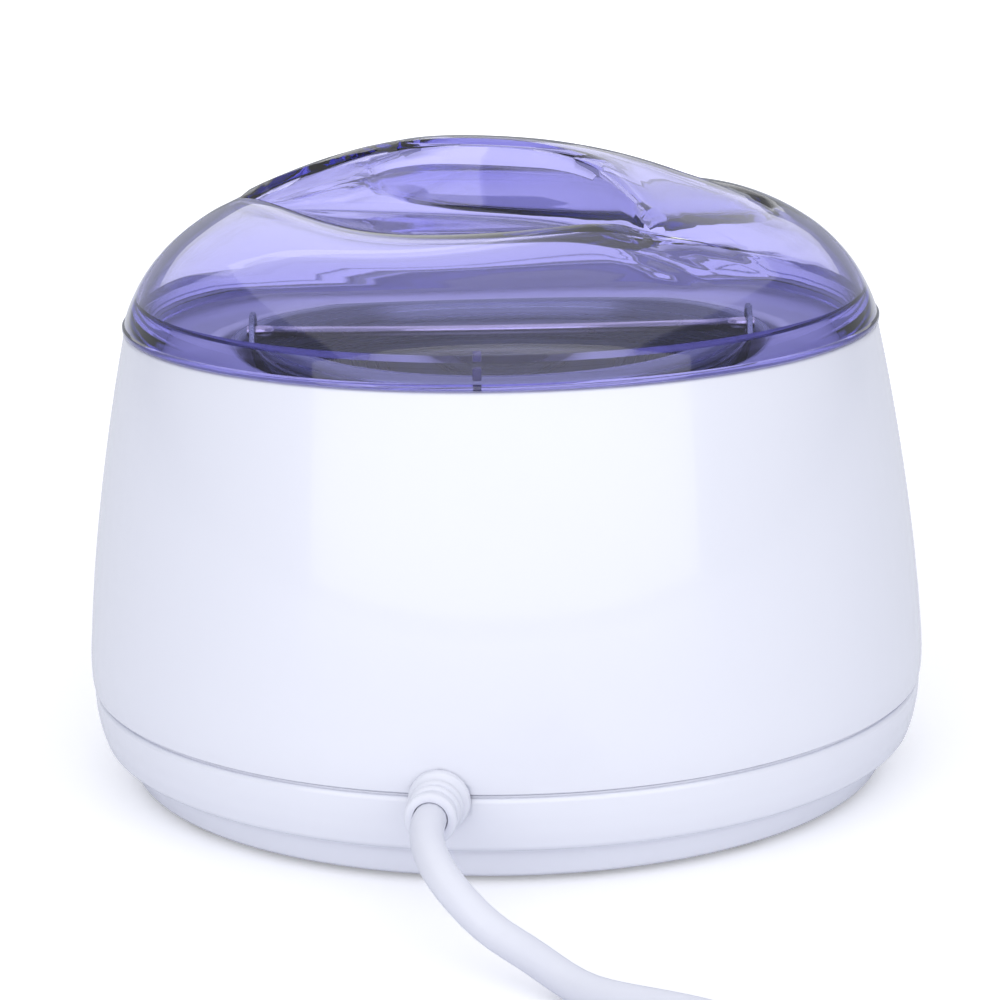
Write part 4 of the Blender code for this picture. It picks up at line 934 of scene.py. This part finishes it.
# %% Spin the pot
POT_FRAME = frame_at((0.0, 0.0, 0.0), (0.0, 0.0, math.radians(8.4)))
RIVET_HEIGHT, PIVOT_HEIGHT = 86.0, 94.6
BEAD_RADIUS, BEAD_HEIGHT, BEAD = 56.3, 91.9, 1.7
bead = []
for step in range(17):
    angle = math.radians(170 - 20 * step)
    bead.append((BEAD_RADIUS + BEAD * math.cos(angle), BEAD_HEIGHT + BEAD * math.sin(angle)))
pot_outside = smooth_line(((55.2, 88.0), (51.2, 38.0)), 8)
pot_corner = smooth_line(((51.2, 38.0), (50.3, 33.6), (47.5, 30.9), (43.0, 30.0)), 8)
inside_corner = smooth_line(((43.0, 31.2), (46.8, 32.0), (49.1, 34.4), (50.0, 38.0)), 8)
pot_outline = [*bead, (55.2, 89.6), *pot_outside, *pot_corner[1:], (0.0, 30.0), (0.0, 31.2)]
pot_outline += [*inside_corner, (54.0, 86.0), (54.05, 90.6)]


def sideways(side, height):
    """A frame whose Z points out of the pot, to its left or right."""
    return frame_at((0.0, 0.0, height), (0.0, side * math.pi / 2, 0.0))


rivet_holes = [moved(peg(1.5, 50.0, 60.0), sideways(side, RIVET_HEIGHT)) for side in (-1, 1)]
pot_mesh = carve(turned("pot", pot_outline, 160), rivet_holes)
settle("wax_pot_spun", pot_mesh, pot_aluminium_painted_shade, "pot", "aluminium", "wax_pot", where=POT_FRAME)

# %% Cut the ears and set the rivets
EAR_RADIUS, EAR_THICK, EAR_INNER = 4.2, 1.2, 52.0
ear_outline = [(-6.0, 82.5), (6.0, 82.5), (6.0, 89.0), (5.2, 91.6)]
for step in range(13):
    angle = math.pi * step / 12
    ear_outline.append((EAR_RADIUS * math.cos(angle), PIVOT_HEIGHT + EAR_RADIUS * math.sin(angle)))
ear_outline += [(-5.2, 91.6), (-6.0, 89.0)]
rivet_outline = rounded(((0.0, 54.9), (1.2, 54.9), (1.2, 51.7), (2.5, 51.7), (2.2, 50.8), (0.0, 50.6)), 0.5, 3)
for side, word in ((-1, "left"), (1, "right")):
    ear = bmesh.new()
    ear_face = ear.faces.new([ear.verts.new(Vector((0.0, y, z)) * MM) for y, z in ear_outline])
    thicken(ear, ear_face, (EAR_THICK, 0.0, 0.0))
    rims = [edge for edge in ear.edges if abs(edge.verts[0].co.x - edge.verts[1].co.x) < 1e-6]
    bmesh.ops.bevel(ear, geom=rims, offset=0.3 * MM, segments=2, profile=0.5, affect="EDGES")
    inner = EAR_INNER if side > 0 else -EAR_INNER - EAR_THICK
    drills = [moved(peg(1.7, 45.0, 60.0), sideways(side, PIVOT_HEIGHT))]
    drills.append(moved(peg(1.5, 45.0, 60.0), sideways(side, RIVET_HEIGHT)))
    ear_mesh = carve(moved(mesh_from(ear, "ear"), frame_at((inner, 0.0, 0.0))), drills)
    settle(
        f"pot_ear_{word}_pressed", ear_mesh, pot_aluminium_painted_shade, "pot", "aluminium", f"pot_ear_{word}", where=POT_FRAME
    )
    settle(
        f"ear_rivet_{word}_set", turned("rivet", rivet_outline, 32), plated_steel, "pot", "bright_steel",
        f"ear_rivet_{word}", where=POT_FRAME @ sideways(side, RIVET_HEIGHT),
    )

# %% Bend the bail
BAIL_FRAME = POT_FRAME @ frame_at((0.0, 0.0, PIVOT_HEIGHT), (math.radians(10.5), 0.0, 0.0))
WIRE, HALF_WIDTH, REACH, BEND, WIRE_END = 2.6, 49.5, 53.0, 2.2, 53.8
ARC_STEPS, HOOK_STEPS = 60, 8
arc = []
for step in range(ARC_STEPS + 1):
    angle = math.pi * step / ARC_STEPS
    arc.append((HALF_WIDTH * math.cos(angle), -(BEND + (REACH - BEND) * math.sin(angle)), 0.0))
hook = []
for step in range(1, HOOK_STEPS + 1):
    angle = math.pi / 2 * step / HOOK_STEPS
    hook.append((HALF_WIDTH + BEND * (1 - math.cos(angle)), -BEND * (1 - math.sin(angle)), 0.0))
hook.append((WIRE_END, 0.0, 0.0))
bail_line = hook[::-1] + arc + [(-x, y, z) for x, y, z in hook]
bail_shape = bmesh.new()
bail_shape.from_mesh(plain_mesh(wire_curve("bail", bail_line, WIRE, 4, BAIL_FRAME)))
bmesh.ops.remove_doubles(bail_shape, verts=bail_shape.verts, dist=0.001 * MM)
settle("bail_wire", mesh_from(bail_shape, "bail"), bright_wire, "bail", "bright_steel", "bail_handle")

# %% [markdown]
# ## Heating well
# With the pot lifted out, the well shows: a plain spun cup with a flange that screws up under the deck.

# %% Spin the well
well_outline = (
    (0.0, 29.7), (45.0, 29.7), (48.5, 30.5), (51.3, 34.5), (52.0, 38.0), (56.0, 88.2), (68.0, 88.2),
    (68.0, 87.0), (57.2, 87.0), (53.2, 38.0), (52.5, 34.0), (49.5, 29.6), (45.2, 28.5), (0.0, 28.5),
)
screw_holes = [moved(peg(1.8, 80.0, 95.0), round_at(BOSS_RING, azimuth)) for azimuth in BOSS_AZIMUTHS]
well_mesh = carve(turned("well", rounded(well_outline, 0.5, 3), 128), screw_holes)
settle("heating_well_spun", well_mesh, well_aluminium, "housing", "aluminium", "heating_well")

# %% [markdown]
# ## Knob, dial and lamp
# The front has the thermostat knob. Fine grip ribs run round its skirt: they repeat on a circle, so Geometry Nodes put
# a small stretched ball on each point of a mesh circle.


# %% Grow the grip ribs
def grip_ring(look):
    """Count upright ribs on a circle of Radius, Length high and Width wide."""
    tree, size = begin_tree("grip ring", "Count", "Radius", "Length", "Width")
    circle = put(tree, "GeometryNodeMeshCircle", {"Vertices": size["Count"], "Radius": size["Radius"]})
    ball = put(tree, "GeometryNodeMeshUVSphere", {"Segments": 10, "Rings": 8, "Radius": 0.5})
    stretch = put(tree, "ShaderNodeCombineXYZ", {"X": size["Width"], "Y": size["Width"], "Z": size["Length"]})
    return end_tree(tree, circle.outputs["Mesh"], ball.outputs["Mesh"], stretch.outputs["Vector"], look)


grip_mesh = grown(grip_ring(knob_white), {"Count": 40, "Radius": 17.55 * MM, "Length": 9.6 * MM, "Width": 1.5 * MM})
settle("knob_grip_ribs", grip_mesh, None, "knob", "knob_white", where=FRONT_WALL @ frame_at((0.0, 0.0, 6.2)))

# %% Turn the knob and set its pointer
knob_outline = (
    (0.0, 11.9), (4.0, 11.92), (8.0, 12.0), (12.0, 12.25), (15.0, 12.6), (16.6, 12.5), (17.4, 10.9), (17.6, 2.2),
    (18.2, 1.6), (18.2, 0.9), (9.4, 0.9), (9.4, 4.4), (3.3, 4.4), (3.3, 11.3), (0.0, 11.3),
)
settle(
    "control_knob_ribbed", turned("knob", rounded(knob_outline, 0.6, 4), 120), knob_white, "knob", "knob_white",
    "control_knob", where=FRONT_WALL,
)
settle(
    "knob_pointer", bar((1.5, 9.0, 0.8), 0.35), print_grey, "knob", "black_plastic",
    where=FRONT_WALL @ frame_at((0.0, 10.2, 12.05)),
)

# %% Print the dial
DIAL_RADIUS, DIAL_STEPS, DIAL_SWEEP = 23.0, 11, math.radians(290)
MARK_LEAST, MARK_GROWTH, MARK_HALF_WIDTH, MARK_SUNK, MARK_PROUD = 1.0, 1.6, 0.45, -0.2, 0.12
shell_profile = smooth_line(wall, 60)


def on_wall(x, height, proud):
    """The front point of the shell's wall at a height, from the curve that the wall was turned from."""
    radius = float(np.interp(height, shell_profile[:, 1], shell_profile[:, 0])) + proud
    return Vector((x, -math.sqrt(radius**2 - x**2), height)) * MM


dial = bmesh.new()
for step in range(DIAL_STEPS):
    part = step / (DIAL_STEPS - 1)
    angle = math.pi / 2 + DIAL_SWEEP / 2 - DIAL_SWEEP * part
    corners = []
    for along, aside in ((-1, -1), (1, -1), (1, 1), (-1, 1)):
        reach = DIAL_RADIUS + along * (MARK_LEAST + MARK_GROWTH * part)
        x = reach * math.cos(angle) - aside * MARK_HALF_WIDTH * math.sin(angle)
        corners.append((x, KNOB_HEIGHT + reach * math.sin(angle) + aside * MARK_HALF_WIDTH * math.cos(angle)))
    layers = [[dial.verts.new(on_wall(*corner, proud)) for corner in corners] for proud in (MARK_SUNK, MARK_PROUD)]
    for layer in layers:
        dial.faces.new(layer)
    for first in range(4):
        second = (first + 1) % 4
        dial.faces.new((layers[0][first], layers[0][second], layers[1][second], layers[1][first]))
settle("dial_marks", mesh_from(dial, "dial"), print_grey, "housing", "black_plastic")

# %% Mould the lens
lens_outline = ((0.0, 2.4), (2.0, 2.2), (3.6, 1.6), (4.7, 0.8), (4.7, 0.4), (3.5, 0.4), (3.5, -5.0), (0.0, -5.0))
settle(
    "indicator_lens_clear", turned("lens", rounded(lens_outline, 0.5, 4), 48), clear_red, "housing", "red_lens",
    "indicator_lens", where=LENS_WALL,
)

# %% [markdown]
# ## The parts inside and underneath
# The solid model's own meshes are right for the small plain parts: screws, feet, wires, clamps and the heater. They
# stay, and only get their finish, by assigning to each one's material slots.

# %% Give the carried-over parts their finishes
FINISHES = (
    (plated_steel, ("well_screw", "base_screw", "clamp_screw", "heater_clamp", "thermostat_nut", "thermostat_shaft")),
    (plated_steel, ("fuse_clip", "thermal_fuse")),
    (stained_steel, ("heater_band",)),
    (fibre_felt, ("insulation",)),
    (ivory, ("terminal", "cord_clamp")),
    (soft_black, ("thermostat_body",)),
    (clear_lamp, ("indicator_lamp",)),
    (cord_white, ("inner_cord",)),
    (red_sleeve, ("thermostat_wire", "supply_wire_live")),
    (white_sleeve, ("heater_wire", "supply_wire_neutral")),
    (grey_rubber, ("foot_",)),
)
finished = 0
for look, starts in FINISHES:
    for name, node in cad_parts.items():
        if name.startswith(starts):
            node.data.materials.clear()
            node.data.materials.append(look)
            finished += 1
print("finished", finished, "carried-over parts")
